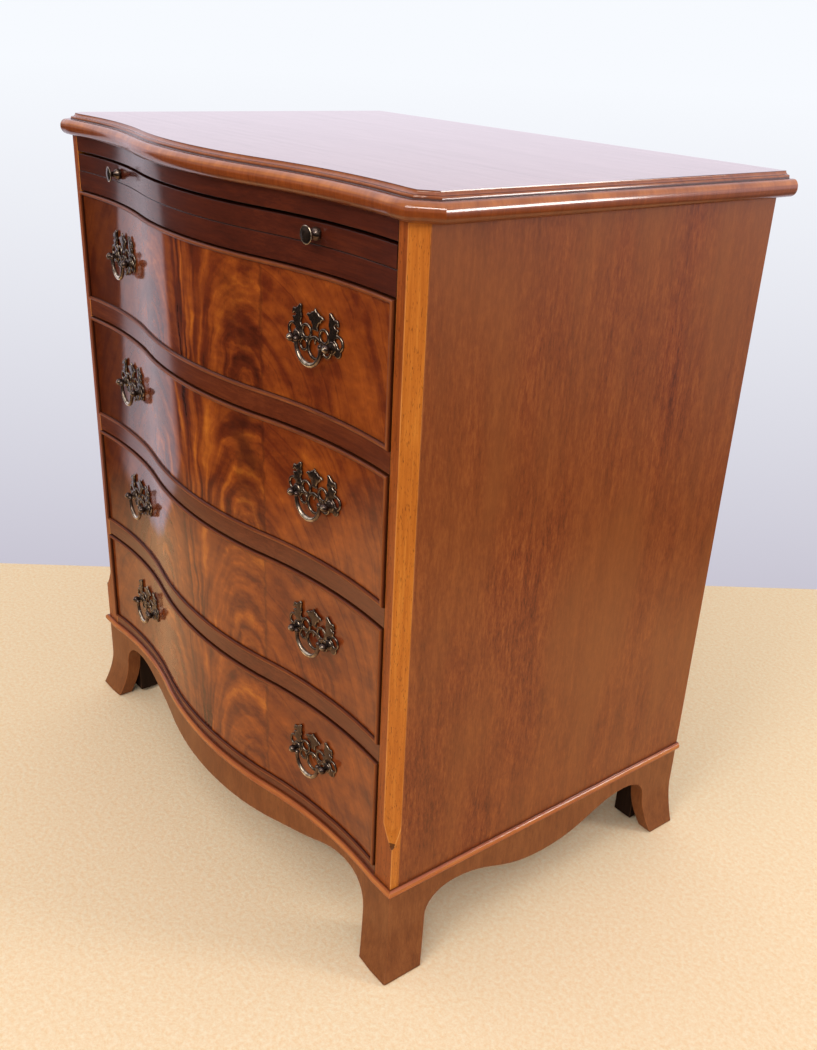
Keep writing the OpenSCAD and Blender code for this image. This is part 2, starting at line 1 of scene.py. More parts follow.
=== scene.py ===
# %% [markdown]
# # A serpentine chest of drawers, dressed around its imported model
#
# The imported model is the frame: every board, rail and handle is already where it belongs, in metres, with
# +Z up and the drawers opening towards -Y. This lesson keeps that frame and gives each piece its real
# surface: rounded edges, mitred mouldings, a book-matched flame veneer under French polish, and aged brass.

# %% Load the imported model
import math
import bmesh
import bpy
import numpy as np
from mathutils import Matrix, Vector
from mathutils.geometry import delaunay_2d_cdt


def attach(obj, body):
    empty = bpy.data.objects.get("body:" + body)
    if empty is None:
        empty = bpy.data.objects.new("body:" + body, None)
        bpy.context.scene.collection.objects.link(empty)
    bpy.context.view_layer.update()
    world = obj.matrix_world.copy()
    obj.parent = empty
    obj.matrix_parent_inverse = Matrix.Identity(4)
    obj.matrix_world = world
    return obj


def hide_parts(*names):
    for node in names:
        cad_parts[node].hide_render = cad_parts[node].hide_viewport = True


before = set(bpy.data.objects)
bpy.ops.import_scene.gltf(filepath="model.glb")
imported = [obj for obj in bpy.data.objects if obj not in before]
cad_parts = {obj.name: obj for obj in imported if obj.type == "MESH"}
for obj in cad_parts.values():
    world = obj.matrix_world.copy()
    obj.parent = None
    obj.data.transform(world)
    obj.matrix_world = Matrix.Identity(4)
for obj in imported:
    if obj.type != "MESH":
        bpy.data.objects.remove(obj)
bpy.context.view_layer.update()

# %% [markdown]
# ## The chest's own sizes
#
# A scene that dresses a model repeats a few of the model's sizes, so that mouldings, beads and handles land
# on what carries them. They are written once, in millimetres, in the maker's own frame: X from the middle, Y
# from the drawer faces beside the posts towards the back, Z from the floor. One function turns them to
# metres.

# %% Sizes in millimetres, and the way to metres
MM = 0.001
# the case: half its width, its depth at the sides, and where its plinth ends and its top begins
HALF_W, CASE_D, PLINTH_H, CASE_TOP = 325.0, 427.0, 103.5, 738.0
# the front's line: half its width, the radius of its arcs, and where each hollow is deepest
OPEN_W, SERP_R, HOLLOW_X = 299.0, 535.0, 241.0
# the drawers: half a front's width, its height and thickness, the lowest front's height and their spacing
DRAWERS = range(1, 5)
DRAWER_W, FRONT_H, FRONT_T, LOWEST_Z, DRAWER_STEP = 298.0, 122.5, 20.0, 123.8, 144.0
# the handles: their place from the middle and above mid front, the space of their posts, and their parts
HANDLE_X, HANDLE_RISE, CENTRES = 190.0, 3.5, 48.0
PLATE_HALF, PLATE_T, PIVOT_OUT, BALL_D = 37.5, 1.6, 8.2, 8.0


def sag(d):
    """How far an arc of the front falls back, d from its crown."""
    return SERP_R - math.sqrt(SERP_R * SERP_R - d * d)


# how deep each hollow is, how far the bow comes forward, and the middle of the model from front to back
HOLLOW = sag(OPEN_W - HOLLOW_X)
BULGE = 2 * sag(HOLLOW_X / 2) - HOLLOW
MID_Y = (CASE_D - BULGE) / 2


def face_y(x):
    """The serpentine line of the drawer faces."""
    a = min(abs(x), OPEN_W)
    return sag(a) - BULGE if a < HOLLOW_X / 2 else HOLLOW - sag(a - HOLLOW_X)


def at(x, y, z):
    """A point of the maker's frame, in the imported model's metres."""
    return Vector((x * MM, (y - MID_Y) * MM, z * MM))


def drawer_z(i):
    """Height of a drawer front's lower edge, the uppermost drawer first."""
    return LOWEST_Z + (len(DRAWERS) - i) * DRAWER_STEP


def handle_z(i):
    """Height of the pivots of a drawer's handles."""
    return drawer_z(i) + FRONT_H / 2 + HANDLE_RISE


print("bulge", round(BULGE, 2), "hollow", round(HOLLOW, 2), "middle", round(MID_Y, 2))

# %% [markdown]
# ## The camera
#
# The photograph was taken standing at the right front corner, a little above the top. The position and the
# lens below come from matching a few dozen corners of the real chest with the same corners of the model. A
# small shift stands for the crop. It is set first, because every later choice is judged through it.

# %% Camera at the photograph's viewing angle
RIGHT = Vector((0.61686, 0.78564, 0.04746))
DOWN = Vector((0.36951, -0.23584, -0.8988))
AHEAD = Vector((-0.69494, 0.57197, -0.43579))
EYE = Vector((0.94915, -0.70029, 0.86570))
camera = bpy.data.objects.new("camera", bpy.data.cameras.new("camera"))
bpy.context.scene.collection.objects.link(camera)
turn = Matrix((RIGHT, -DOWN, -AHEAD)).transposed()
camera.matrix_world = Matrix.Translation(EYE) @ turn.to_4x4()
camera.data.lens = 37.09
camera.data.shift_x = -0.01092
camera.data.shift_y = 0.02428
camera.data.clip_start = 0.01
camera.data.dof.use_dof = False
bpy.context.scene.camera = camera
bpy.context.scene.view_settings.view_transform = "Standard"
print("lens", camera.data.lens, "mm")

# %% [markdown]
# ## One function for nodes, one for colours
#
# Materials and Geometry Nodes trees are both built from nodes and links. A single function that adds a node,
# sets its options and fills its sockets with numbers or links keeps every tree readable. Colours are picked
# as sRGB hex values, as a paint chart gives them, and shaders want linear light, so one function converts.


# %% Helpers for nodes and colours
def add(tree, kind, inputs=None, **settings):
    """Adds one node. A value in inputs is a number or colour, or an output socket to link."""
    made = tree.nodes.new(kind)
    for key, value in settings.items():
        if key == "stops":
            points = made.color_ramp.elements
            while len(points) < len(value):
                points.new(0.5)
            for point, (place, colour) in zip(points, value):
                point.position = place
                point.color = linear(colour)
        else:
            setattr(made, key, value)
    for key, value in (inputs or {}).items():
        if isinstance(value, bpy.types.NodeSocket):
            tree.links.new(value, made.inputs[key])
        else:
            made.inputs[key].default_value = value
    return made


def linear(hex_text):
    """An sRGB hex colour as the linear colour that shaders read."""
    parts = [int(hex_text[k:k + 2], 16) / 255 for k in (1, 3, 5)]
    return tuple(c / 12.92 if c <= 0.04045 else ((c + 0.055) / 1.055) ** 2.4 for c in parts) + (1.0,)


def new_finish(name):
    """An empty material with its shader, ready for colour and roughness."""
    finish = bpy.data.materials.new(name)
    finish.use_nodes = True
    tree = finish.node_tree
    tree.nodes.clear()
    shader = add(tree, "ShaderNodeBsdfPrincipled")
    add(tree, "ShaderNodeOutputMaterial", {"Surface": shader.outputs[0]})
    return finish, tree, shader


print("helpers ready")

# %% [markdown]
# ## Mahogany under French polish
#
# Mahogany is red-brown, with streaks some centimetres wide that follow the grain, a fine fibre between them,
# and open pores that show as short dark dashes about half a millimetre wide. French polish is a thin, hard
# shellac film: the wood below stays a little rough and the film above gives the sharp reflection. The colour
# comes from three noises, each stretched along the grain by the ratio of the real length to the real width.
# One builder makes every straight-grained piece, because only direction, tones and sizes change.


# %% Straight-grained mahogany
def polish(shader, rough, under, coat, gloss, film_ior):
    """The wood's own roughness and shine, and the weight, roughness and IOR of the film of polish over it."""
    for socket, value in (("Roughness", rough), ("IOR", 1.45), ("Specular IOR Level", under),
                          ("Coat Weight", coat), ("Coat Roughness", gloss), ("Coat IOR", film_ior)):
        shader.inputs[socket].default_value = value


def polished_timber(name, grain, tones, rub_and_highlight, streak=14.0, run=300.0, gloss=0.14, rough=0.5, coat=0.9,
                    path=False, calm=0.30, pore=0.35, film_ior=1.5, under=0.12, faded=None, sunk=0.0,
                    fine=0.26, fibre_run=26):
    """Straight timber under polish. grain is the axis along the grain; tones go from dark to light, rub is the
    tone of edges with wear and of painted highlights on beads and nosing, and faded that of bleached patches.
    streak and run are a streak's width and length in millimetres, fibre_run is the fibre's length over its
    width, fine its strength and pore that of the pores. calm is how quiet the figure is, and sunk how far the
    film has sunk into it. With path the pattern follows the piece's own UV map."""
    finish, tree, shader = new_finish(name)
    place = add(tree, "ShaderNodeTexCoord").outputs["UV" if path else "Object"]
    # four stretched copies of the place: for streaks, fibre, pores and the broad mottle
    slow, quick, short, broad = (
        add(tree, "ShaderNodeMapping", {"Vector": place,
                                        "Scale": [share if axis == grain else 1.0 for axis in "XYZ"]})
        for share in (streak / run, 1 / fibre_run, 1 / 6, 0.3))
    streaks = add(tree, "ShaderNodeTexNoise", {"Vector": slow.outputs[0], "Scale": 1 / (streak * MM),
                                               "Detail": 4.0, "Roughness": 0.6, "Distortion": 0.5})
    fibre = add(tree, "ShaderNodeTexNoise", {"Vector": quick.outputs[0], "Scale": 1 / (2.4 * MM),
                                             "Detail": 3.0, "Roughness": 0.8})
    fibre = add(tree, "ShaderNodeMapRange", {0: fibre.outputs[0], 1: 0.28, 2: 0.72}, clamp=False)
    mottle = add(tree, "ShaderNodeTexNoise", {"Vector": broad.outputs[0], "Scale": 1 / (26 * MM),
                                              "Detail": 6.0, "Roughness": 0.7})
    # real pores are 0.2 to 0.3 mm wide, which is too fine to show, so they are drawn coarser
    pores = add(tree, "ShaderNodeTexNoise", {"Vector": short.outputs[0], "Scale": 1 / (0.75 * MM),
                                             "Detail": 1.0})
    # the three noises together, with mid as their mean
    mid = 0.375 + 0.5 * fine
    figure = add(tree, "ShaderNodeMath", {0: streaks.outputs[0], 1: 0.45}, operation="MULTIPLY")
    figure = add(tree, "ShaderNodeMath", {0: fibre.outputs[0], 1: fine, 2: figure.outputs[0]},
                 operation="MULTIPLY_ADD")
    figure = add(tree, "ShaderNodeMath", {0: mottle.outputs[0], 1: 0.3, 2: figure.outputs[0]},
                 operation="MULTIPLY_ADD")
    figure = add(tree, "ShaderNodeMapRange", {0: figure.outputs[0], 1: mid - calm, 2: mid + calm})
    wood = add(tree, "ShaderNodeValToRGB", {0: figure.outputs[0]},
               stops=((0.0, tones[0]), (0.5, tones[1]), (1.0, tones[2])))
    dash = add(tree, "ShaderNodeMapRange", {0: pores.outputs[0], 1: 0.62, 2: 0.72, 3: 0.0, 4: pore})
    wood = add(tree, "ShaderNodeMix", {0: dash.outputs[0], 6: wood.outputs[0], 7: linear("#2a0f06")},
               data_type="RGBA")
    if faded:
        tide = add(tree, "ShaderNodeTexNoise", {"Vector": broad.outputs[0], "Scale": 1 / (90 * MM),
                                                "Detail": 2.0})
        tide = add(tree, "ShaderNodeMapRange", {0: tide.outputs[0], 1: 0.38, 2: 0.66, 3: 0.0, 4: 0.7})
        wood = add(tree, "ShaderNodeMix", {0: tide.outputs[0], 6: wood.outputs[2], 7: linear(faded)},
                   data_type="RGBA")
    # the wear attribute lightens towards the rub tone above zero, which is edge wear and, on beads and nosing,
    # a painted highlight; below zero it darkens to near-black, which is dirt and painted shade in gaps,
    # grooves and recesses
    edge = add(tree, "ShaderNodeAttribute", attribute_name="worn")
    patchy = add(tree, "ShaderNodeMapRange", {0: mottle.outputs[0], 1: 0.35, 2: 0.65, 3: 0.2, 4: 0.9})
    wear = add(tree, "ShaderNodeMath", {0: edge.outputs["Fac"], 1: patchy.outputs[0]}, operation="MULTIPLY",
               use_clamp=True)
    wood = add(tree, "ShaderNodeMix", {0: wear.outputs[0], 6: wood.outputs[2], 7: linear(rub_and_highlight)},
               data_type="RGBA")
    grime_and_shade = add(tree, "ShaderNodeMath", {0: edge.outputs["Fac"], 1: -0.85}, operation="MULTIPLY",
                use_clamp=True)
    wood = add(tree, "ShaderNodeMix", {0: grime_and_shade.outputs[0], 6: wood.outputs[2], 7: linear("#1d0a05")},
               data_type="RGBA")
    tree.links.new(wood.outputs[2], shader.inputs["Base Color"])
    film = add(tree, "ShaderNodeBump", {"Height": fibre.outputs[0], "Strength": 0.08, "Distance": 0.2 * MM})
    tree.links.new(film.outputs[0], shader.inputs["Normal"])
    polish(shader, rough, under, coat, gloss, film_ior)
    if sunk:
        # the film has sunk into the open grain, so faint lines cross the reflection
        film = add(tree, "ShaderNodeMapRange", {0: figure.outputs[0], 1: 0.0, 2: 0.7,
                                                3: coat - sunk, 4: coat})
        tree.links.new(film.outputs[0], shader.inputs["Coat Weight"])
    return finish


# the large side panels: deep red-brown with fine upright fibre, read as mahogany under old polish
side_mahogany = polished_timber("side mahogany, French polished", "Z", ("#461707", "#763513", "#975221"),
                                "#9a5a30", streak=12, run=110, gloss=0.22, coat=0.7, calm=0.25, fine=0.36,
                                faded="#80471e", fibre_run=5)
# the posts: golden straight mahogany on the canted face, kept lighter than the flat face as the lit side of a
# lit and shaded pair
post_mahogany = polished_timber("post mahogany, golden and straight", "Z", ("#8f480f", "#b3651c", "#cb822e"),
                                "#cf8a44", streak=5, run=160, gloss=0.22, coat=0.6, pore=0.6)
# the narrow face beside the drawers: the same wood painted darker, a painted shade for the face turned from
# the light
post_front_painted_shade = polished_timber("post mahogany, face beside the drawers", "Z",
                                      ("#5e280c", "#8a4214", "#a65a20"), "#a9622c", streak=5, run=160,
                                      gloss=0.22, coat=0.6, pore=0.6)
# frieze, slide and slide rail: the darkest wood, nearly plum in the shade of the top
frieze_mahogany = polished_timber("frieze mahogany, dark and close", "X", ("#2e0f07", "#481a0d", "#642a12"),
                                  "#5a2a18", streak=9, run=150, gloss=0.13, calm=0.34)
# the rails between the drawers: a shade lighter, grain along the front
rail_mahogany = polished_timber("rail mahogany, grain along the front", "X",
                                ("#3c1408", "#5e2710", "#7c3d1c"), "#7a3f20", streak=6, run=90, calm=0.36)
# the top: wide quiet figure along its length, a mirror at low angles
top_mahogany = polished_timber("top mahogany, burnished", "X", ("#57200d", "#7f3c1c", "#9f5a30"),
                               "#a8602c", streak=9, run=420, gloss=0.04, coat=1.0, rough=0.1, under=0.3,
                               calm=0.26, sunk=0.24)
# the plinth: plain wood, mottled, duller where feet and brooms rub it
plinth_mahogany = polished_timber("plinth mahogany, rubbed", "Z", ("#552812", "#794320", "#905a30"),
                                  "#9b5f38", streak=12, run=40, gloss=0.28, coat=0.5, fibre_run=7)
# the moulded edge of the top: short grain across the run, so fine lines cross the nosing
nosing_mahogany = polished_timber("nosing mahogany, short grain", "Y", ("#4e1c08", "#7e3a12", "#a2541c"),
                                  "#ce8042", streak=7, run=20, gloss=0.12, coat=1.0, path=True, calm=0.46,
                                  pore=0.2, film_ior=1.6)
# the beads and the base moulding: stained wood that follows its run, the beads darker
bead_mahogany = polished_timber("cockbead mahogany, stained", "X", ("#3c1406", "#5e270d", "#7a4019"),
                                "#a05a2c", streak=5, run=90, gloss=0.16, coat=0.45, path=True)
moulding_mahogany = polished_timber("base moulding mahogany, stained", "X", ("#6c2b0f", "#9c4b1b", "#bb6c2a"),
                                    "#d08a48", streak=6, run=120, gloss=0.12, coat=1.0, path=True)
# inside: quiet pale timber, waxed and never polished
lining_timber = polished_timber("drawer lining timber, waxed", "Y", ("#a98455", "#c19b68", "#d2b07e"),
                                "#d8b98a", streak=9, run=240, gloss=0.5, rough=0.6, coat=0.1)
lining_cross = polished_timber("drawer lining timber, waxed, across", "X", ("#a98455", "#c19b68", "#d2b07e"),
                               "#d8b98a", streak=9, run=240, gloss=0.5, rough=0.6, coat=0.1)
# hidden timber: stained dark, and painted darker still as painted shade where it is glimpsed under the chest;
# oiled brown at the back
stained_timber_and_shade = polished_timber("block timber, stained dark", "Z", ("#150b07", "#23150e", "#352218"),
                                 "#4a3020", streak=12, run=200, gloss=0.5, rough=0.65, coat=0.1)
back_timber = polished_timber("back panel timber, oiled", "Z", ("#4a2f1c", "#634228", "#7a5535"),
                              "#8a6644", streak=26, run=500, gloss=0.5, rough=0.62, coat=0.1)
print("timbers", len([m for m in bpy.data.materials if "mahogany" in m.name or "timber" in m.name]))

# %% [markdown]
# ## The flame veneer
#
# The drawer fronts are veneered with the crotch of a mahogany tree. Each front shows a plume that starts
# narrow at the middle of its lower edge and spreads upwards, and at each side of the plume a seam, past which
# a plainer leaf has arcs that sweep down to the end. Between plume and seam lies a smoky strip, in which the
# curves turn right over into nested arches. A plume is a family of curves, so it is drawn as one: a place is
# carried back down its curve to the lower edge, x divided by how far the plume has spread at that height, and
# a noise of that number paints dark and light bands. The arches and the outer leaves do the same with the
# distance from a point below them. A slow noise bends all three, and each front gets its own seed.


# %% Flame veneer
def flame_veneer(name, lower_edge, seed, spread, lean, left_shade, smoky):
    """The veneer of one drawer front. lower_edge is its height in metres; spread is how far its plume opens
    and lean how late; left_shade is how dark the left end is, and smoky the strip beside the seam."""
    finish, tree, shader = new_finish(name)
    place = add(tree, "ShaderNodeTexCoord").outputs["Object"]
    wave = add(tree, "ShaderNodeTexNoise", {"Vector": place, "W": seed, "Scale": 1 / (46 * MM),
                                            "Detail": 3.0}, noise_dimensions="4D")
    curl = add(tree, "ShaderNodeTexNoise", {"Vector": place, "W": seed, "Scale": 1 / (9 * MM), "Detail": 2.0},
               noise_dimensions="4D")
    smoke = add(tree, "ShaderNodeTexNoise", {"Vector": place, "W": seed + 1.7, "Scale": 1 / (45 * MM),
                                             "Detail": 4.0, "Distortion": 0.8}, noise_dimensions="4D")
    split = add(tree, "ShaderNodeSeparateXYZ", {0: place})
    bent = add(tree, "ShaderNodeMath", {0: wave.outputs[0], 1: 26 * MM, 2: -22 * MM},
               operation="MULTIPLY_ADD")
    x = add(tree, "ShaderNodeMath", {0: split.outputs[0], 1: bent.outputs[0]}, operation="ADD")
    x = add(tree, "ShaderNodeMath", {0: curl.outputs[0], 1: 3 * MM, 2: x.outputs[0]},
            operation="MULTIPLY_ADD")
    rise = add(tree, "ShaderNodeMapRange", {0: split.outputs[2], 1: lower_edge - 4 * MM,
                                            2: lower_edge + FRONT_H * MM})
    opened = add(tree, "ShaderNodeMath", {0: rise.outputs[0], 1: lean}, operation="POWER")
    # the right-hand curves turn over much further than the left-hand ones
    turned_over = add(tree, "ShaderNodeMapRange", {0: x.outputs[0], 1: -0.02, 2: 0.03,
                                                   3: 0.5 * spread, 4: 1.4 * spread})
    opened = add(tree, "ShaderNodeMath", {0: opened.outputs[0], 1: turned_over.outputs[0], 2: 1.0},
                 operation="MULTIPLY_ADD")
    stem = add(tree, "ShaderNodeMath", {0: x.outputs[0], 1: opened.outputs[0]}, operation="DIVIDE")
    lift = add(tree, "ShaderNodeMath", {0: rise.outputs[0], 1: 9 * MM}, operation="MULTIPLY")
    plume_at = add(tree, "ShaderNodeCombineXYZ", {0: stem.outputs[0], 1: lift.outputs[0]})
    plume = add(tree, "ShaderNodeTexNoise", {"Vector": plume_at.outputs[0], "W": seed + 3.1,
                                             "Scale": 1 / (9 * MM), "Detail": 2.0, "Roughness": 0.5},
                noise_dimensions="4D")
    lines = add(tree, "ShaderNodeTexNoise", {"Vector": plume_at.outputs[0], "W": seed + 5.9,
                                             "Scale": 1 / (2.4 * MM), "Detail": 2.0}, noise_dimensions="4D")
    band = add(tree, "ShaderNodeMapRange", {0: plume.outputs[0], 1: 0.32, 2: 0.70})
    band = add(tree, "ShaderNodeMath", {0: lines.outputs[0], 1: 0.34, 2: band.outputs[0]},
               operation="MULTIPLY_ADD")
    plume_band = add(tree, "ShaderNodeMath", {0: band.outputs[0], 1: -0.19}, operation="ADD")
    # the outer leaves: golden, with smoky patches and thin dark arcs round a point low beside the plume
    side_x = add(tree, "ShaderNodeMath", {0: split.outputs[0]}, operation="ABSOLUTE")
    leaf_x = add(tree, "ShaderNodeMath", {0: side_x.outputs[0], 1: bent.outputs[0]}, operation="ADD")
    leaf_at = add(tree, "ShaderNodeCombineXYZ", {0: leaf_x.outputs[0], 2: split.outputs[2]})
    away = add(tree, "ShaderNodeVectorMath", {0: leaf_at.outputs[0], 1: (0.05, 0.0, lower_edge - 0.05)},
               operation="DISTANCE")
    arc_at = add(tree, "ShaderNodeCombineXYZ", {0: away.outputs["Value"], 1: lift.outputs[0]})
    arcs = add(tree, "ShaderNodeTexNoise", {"Vector": arc_at.outputs[0], "W": seed + 7.7,
                                            "Scale": 1 / (12 * MM), "Detail": 4.0, "Roughness": 0.6},
               noise_dimensions="4D")
    arc_band = add(tree, "ShaderNodeMath", {0: arcs.outputs[0], 1: 0.55, 2: -0.25}, operation="MULTIPLY_ADD")
    arc_band = add(tree, "ShaderNodeMath", {0: smoke.outputs[0], 1: 0.85, 2: arc_band.outputs[0]},
                   operation="MULTIPLY_ADD")
    vein = add(tree, "ShaderNodeTexNoise", {"Vector": arc_at.outputs[0], "W": seed + 9.3,
                                            "Scale": 1 / (24 * MM), "Detail": 2.0, "Roughness": 0.55},
               noise_dimensions="4D")
    vein = add(tree, "ShaderNodeMath", {0: vein.outputs[0], 1: 0.5}, operation="SUBTRACT")
    vein = add(tree, "ShaderNodeMath", {0: vein.outputs[0]}, operation="ABSOLUTE")
    vein = add(tree, "ShaderNodeMapRange", {0: vein.outputs[0], 1: 0.002, 2: 0.03, 3: 0.11, 4: 0.0})
    arc_band = add(tree, "ShaderNodeMath", {0: arc_band.outputs[0], 1: vein.outputs[0]}, operation="SUBTRACT")
    # the plume gives way to the leaves 22 to 36 mm from the middle, measured at its foot
    stem_x = add(tree, "ShaderNodeMath", {0: stem.outputs[0]}, operation="ABSOLUTE")
    gate = add(tree, "ShaderNodeMapRange", {0: stem_x.outputs[0], 1: 0.022, 2: 0.036})
    band = add(tree, "ShaderNodeMix", {0: gate.outputs[0], 2: plume_band.outputs[0], 3: arc_band.outputs[0]})
    # the strip between plume and seam, 50 to 119 mm from the middle, with ragged sides
    ragged = add(tree, "ShaderNodeMath", {0: curl.outputs[0], 1: 9 * MM, 2: side_x.outputs[0]},
                 operation="MULTIPLY_ADD")
    strip = add(tree, "ShaderNodeMapRange", {0: ragged.outputs[0], 1: 0.050, 2: 0.085})
    past = add(tree, "ShaderNodeMapRange", {0: ragged.outputs[0], 1: 0.119, 2: 0.125, 3: 1.0, 4: 0.0})
    strip = add(tree, "ShaderNodeMath", {0: strip.outputs[0], 1: past.outputs[0]}, operation="MULTIPLY")
    # the nested arches lie round a point 84 mm from the middle, a little below the front
    arch_at = add(tree, "ShaderNodeVectorMath", {0: leaf_at.outputs[0], 1: (0.084, 0.0, lower_edge - 0.006)},
                  operation="SUBTRACT")
    arch_at = add(tree, "ShaderNodeVectorMath", {0: arch_at.outputs[0], 1: (1.0, 1.0, 0.56)},
                  operation="MULTIPLY")
    arch_r = add(tree, "ShaderNodeVectorMath", {0: arch_at.outputs[0]}, operation="LENGTH")
    arch_r = add(tree, "ShaderNodeMath", {0: smoke.outputs[0], 1: 18 * MM, 2: arch_r.outputs["Value"]},
                 operation="MULTIPLY_ADD")
    arch_at = add(tree, "ShaderNodeCombineXYZ", {0: arch_r.outputs[0], 1: lift.outputs[0]})
    arches = add(tree, "ShaderNodeTexNoise", {"Vector": arch_at.outputs[0], "W": seed + 2.3,
                                              "Scale": 1 / (11 * MM), "Detail": 3.0, "Roughness": 0.5},
                 noise_dimensions="4D")
    arches = add(tree, "ShaderNodeMapRange", {0: arches.outputs[0], 1: 0.34, 2: 0.66,
                                              3: 0.30 - 0.35 * smoky, 4: 0.82})
    over = add(tree, "ShaderNodeMapRange", {0: ragged.outputs[0], 1: 0.024, 2: 0.056, 3: 0.0, 4: 0.8})
    over = add(tree, "ShaderNodeMath", {0: over.outputs[0], 1: past.outputs[0]}, operation="MULTIPLY")
    band = add(tree, "ShaderNodeMix", {0: over.outputs[0], 2: band.outputs[0], 3: arches.outputs[0]})
    # chatoyance, painted as a fixed sheen: soft light and dark streaks that lie across the figure, strongest
    # in the strip
    sheen_at = add(tree, "ShaderNodeMapping", {"Vector": place, "Scale": (0.45, 0.45, 1.0),
                                               "Rotation": (0.0, 0.5, 0.0)})
    sheen_streaks = add(tree, "ShaderNodeTexNoise", {"Vector": sheen_at.outputs[0], "Scale": 1 / (9 * MM),
                                              "Detail": 3.0, "Roughness": 0.6})
    sheen_streaks = add(tree, "ShaderNodeMath", {0: sheen_streaks.outputs[0], 1: 0.5}, operation="SUBTRACT")
    sheen_strength = add(tree, "ShaderNodeMath", {0: strip.outputs[0], 1: 0.45, 2: 0.4}, operation="MULTIPLY_ADD")
    band = add(tree, "ShaderNodeMath", {0: sheen_streaks.outputs[0], 1: sheen_strength.outputs[0], 2: band.outputs[0]},
               operation="MULTIPLY_ADD")
    wood = add(tree, "ShaderNodeValToRGB", {0: band.outputs[0]},
               stops=((0.0, "#340f04"), (0.3, "#622409"), (0.62, "#8f4411"), (1.0, "#c4701f")))
    # the strip ends in a dark ragged seam; the left end of the front is painted darker and redder, a painted
    # shade of the end turned from the light
    seam = add(tree, "ShaderNodeMath", {0: ragged.outputs[0], 1: 0.1215}, operation="SUBTRACT")
    seam = add(tree, "ShaderNodeMath", {0: seam.outputs[0]}, operation="ABSOLUTE")
    seam = add(tree, "ShaderNodeMapRange", {0: seam.outputs[0], 1: 0.0003, 2: 0.003, 3: 0.45, 4: 0.0})
    cloud = add(tree, "ShaderNodeMapRange", {0: smoke.outputs[0], 1: 0.38, 2: 0.66})
    soot = add(tree, "ShaderNodeMath", {0: strip.outputs[0], 1: cloud.outputs[0]}, operation="MULTIPLY")
    soot = add(tree, "ShaderNodeMath", {0: soot.outputs[0], 1: smoky}, operation="MULTIPLY", use_clamp=True)
    soot = add(tree, "ShaderNodeMath", {0: soot.outputs[0], 1: seam.outputs[0]}, operation="MAXIMUM")
    left = add(tree, "ShaderNodeMapRange", {0: split.outputs[0], 1: -0.10, 2: -0.24, 3: 0.0, 4: left_shade})
    dark = add(tree, "ShaderNodeMath", {0: soot.outputs[0], 1: left.outputs[0]}, operation="MAXIMUM")
    wood = add(tree, "ShaderNodeMix", {0: dark.outputs[0], 6: wood.outputs[0], 7: linear("#3a1307")},
               data_type="RGBA")
    pore_at = add(tree, "ShaderNodeMapping", {"Vector": place, "Scale": (1.0, 1.0, 1 / 7)})
    pores = add(tree, "ShaderNodeTexNoise", {"Vector": pore_at.outputs[0], "Scale": 1 / (0.8 * MM),
                                             "Detail": 1.0})
    dash = add(tree, "ShaderNodeMapRange", {0: pores.outputs[0], 1: 0.6, 2: 0.72, 3: 0.0, 4: 0.3})
    wood = add(tree, "ShaderNodeMix", {0: dash.outputs[0], 6: wood.outputs[2], 7: linear("#2c1005")},
               data_type="RGBA")
    tree.links.new(wood.outputs[2], shader.inputs["Base Color"])
    film = add(tree, "ShaderNodeBump", {"Height": wave.outputs[0], "Strength": 0.06, "Distance": 2 * MM})
    tree.links.new(film.outputs[0], shader.inputs["Normal"])
    polish(shader, rough=0.5, under=0.1, coat=1.0, gloss=0.07, film_ior=1.5)
    return finish


# seed, spread, lean, left_shade and smoky of each front, the uppermost first
FLAMES = ((1.3, 1.6, 1.7, 0.62, 0.6),
          (2.1, 2.0, 1.6, 0.62, 0.7),
          (3.4, 1.8, 1.6, 0.50, 0.3),
          (4.6, 1.6, 1.6, 0.15, 0.1))
flames = [flame_veneer("flame mahogany veneer, drawer %d" % i, drawer_z(i) * MM, *figure)
          for i, figure in enumerate(FLAMES, 1)]
print("veneers", len(flames))

# %% [markdown]
# ## Aged brass
#
# The handles and knobs are cast brass with a dark brown lacquer that imitates age: nearly black in the
# hollows, and bare warm metal on the edges and where fingers pull. The shader is nearly all metal, with a
# little left for the lacquer's own body. Its colour goes from the dark lacquer to bare brass by the wear
# attribute that each piece stores as it is made, broken up by a small noise. On the bails that value is
# raised along the bend past the wear alone, as a painted highlight.

# %% Aged brass
aged_brass, tree, shader = new_finish("aged brass, dark lacquer worn at the edges")
place = add(tree, "ShaderNodeTexCoord").outputs["Object"]
edge = add(tree, "ShaderNodeAttribute", attribute_name="worn")
blotch = add(tree, "ShaderNodeTexNoise", {"Vector": place, "Scale": 1 / (5 * MM), "Detail": 2.0,
                                          "Roughness": 0.5})
soft = add(tree, "ShaderNodeMapRange", {0: blotch.outputs[0], 1: 0.32, 2: 0.68, 3: 0.6, 4: 1.0})
wear = add(tree, "ShaderNodeMath", {0: edge.outputs["Fac"], 1: soft.outputs[0]}, operation="MULTIPLY")
tarnish = add(tree, "ShaderNodeMapRange", {0: blotch.outputs[0], 1: 0.3, 2: 0.7, 3: 0.0, 4: 0.12})
wear = add(tree, "ShaderNodeMath", {0: wear.outputs[0], 1: tarnish.outputs[0]}, operation="ADD")
metal = add(tree, "ShaderNodeValToRGB", {0: wear.outputs[0]},
            stops=((0.0, "#332a27"), (0.35, "#5f5048"), (0.75, "#b0a08c"), (1.0, "#efe4cf")))
tree.links.new(metal.outputs[0], shader.inputs["Base Color"])
rough = add(tree, "ShaderNodeMapRange", {0: blotch.outputs[0], 1: 0.3, 2: 0.7, 3: 0.14, 4: 0.24})
tree.links.new(rough.outputs[0], shader.inputs["Roughness"])
cast = add(tree, "ShaderNodeBump", {"Height": blotch.outputs[0], "Strength": 0.03, "Distance": 0.2 * MM})
tree.links.new(cast.outputs[0], shader.inputs["Normal"])
shader.inputs["Metallic"].default_value = 0.85
print("metal ready")
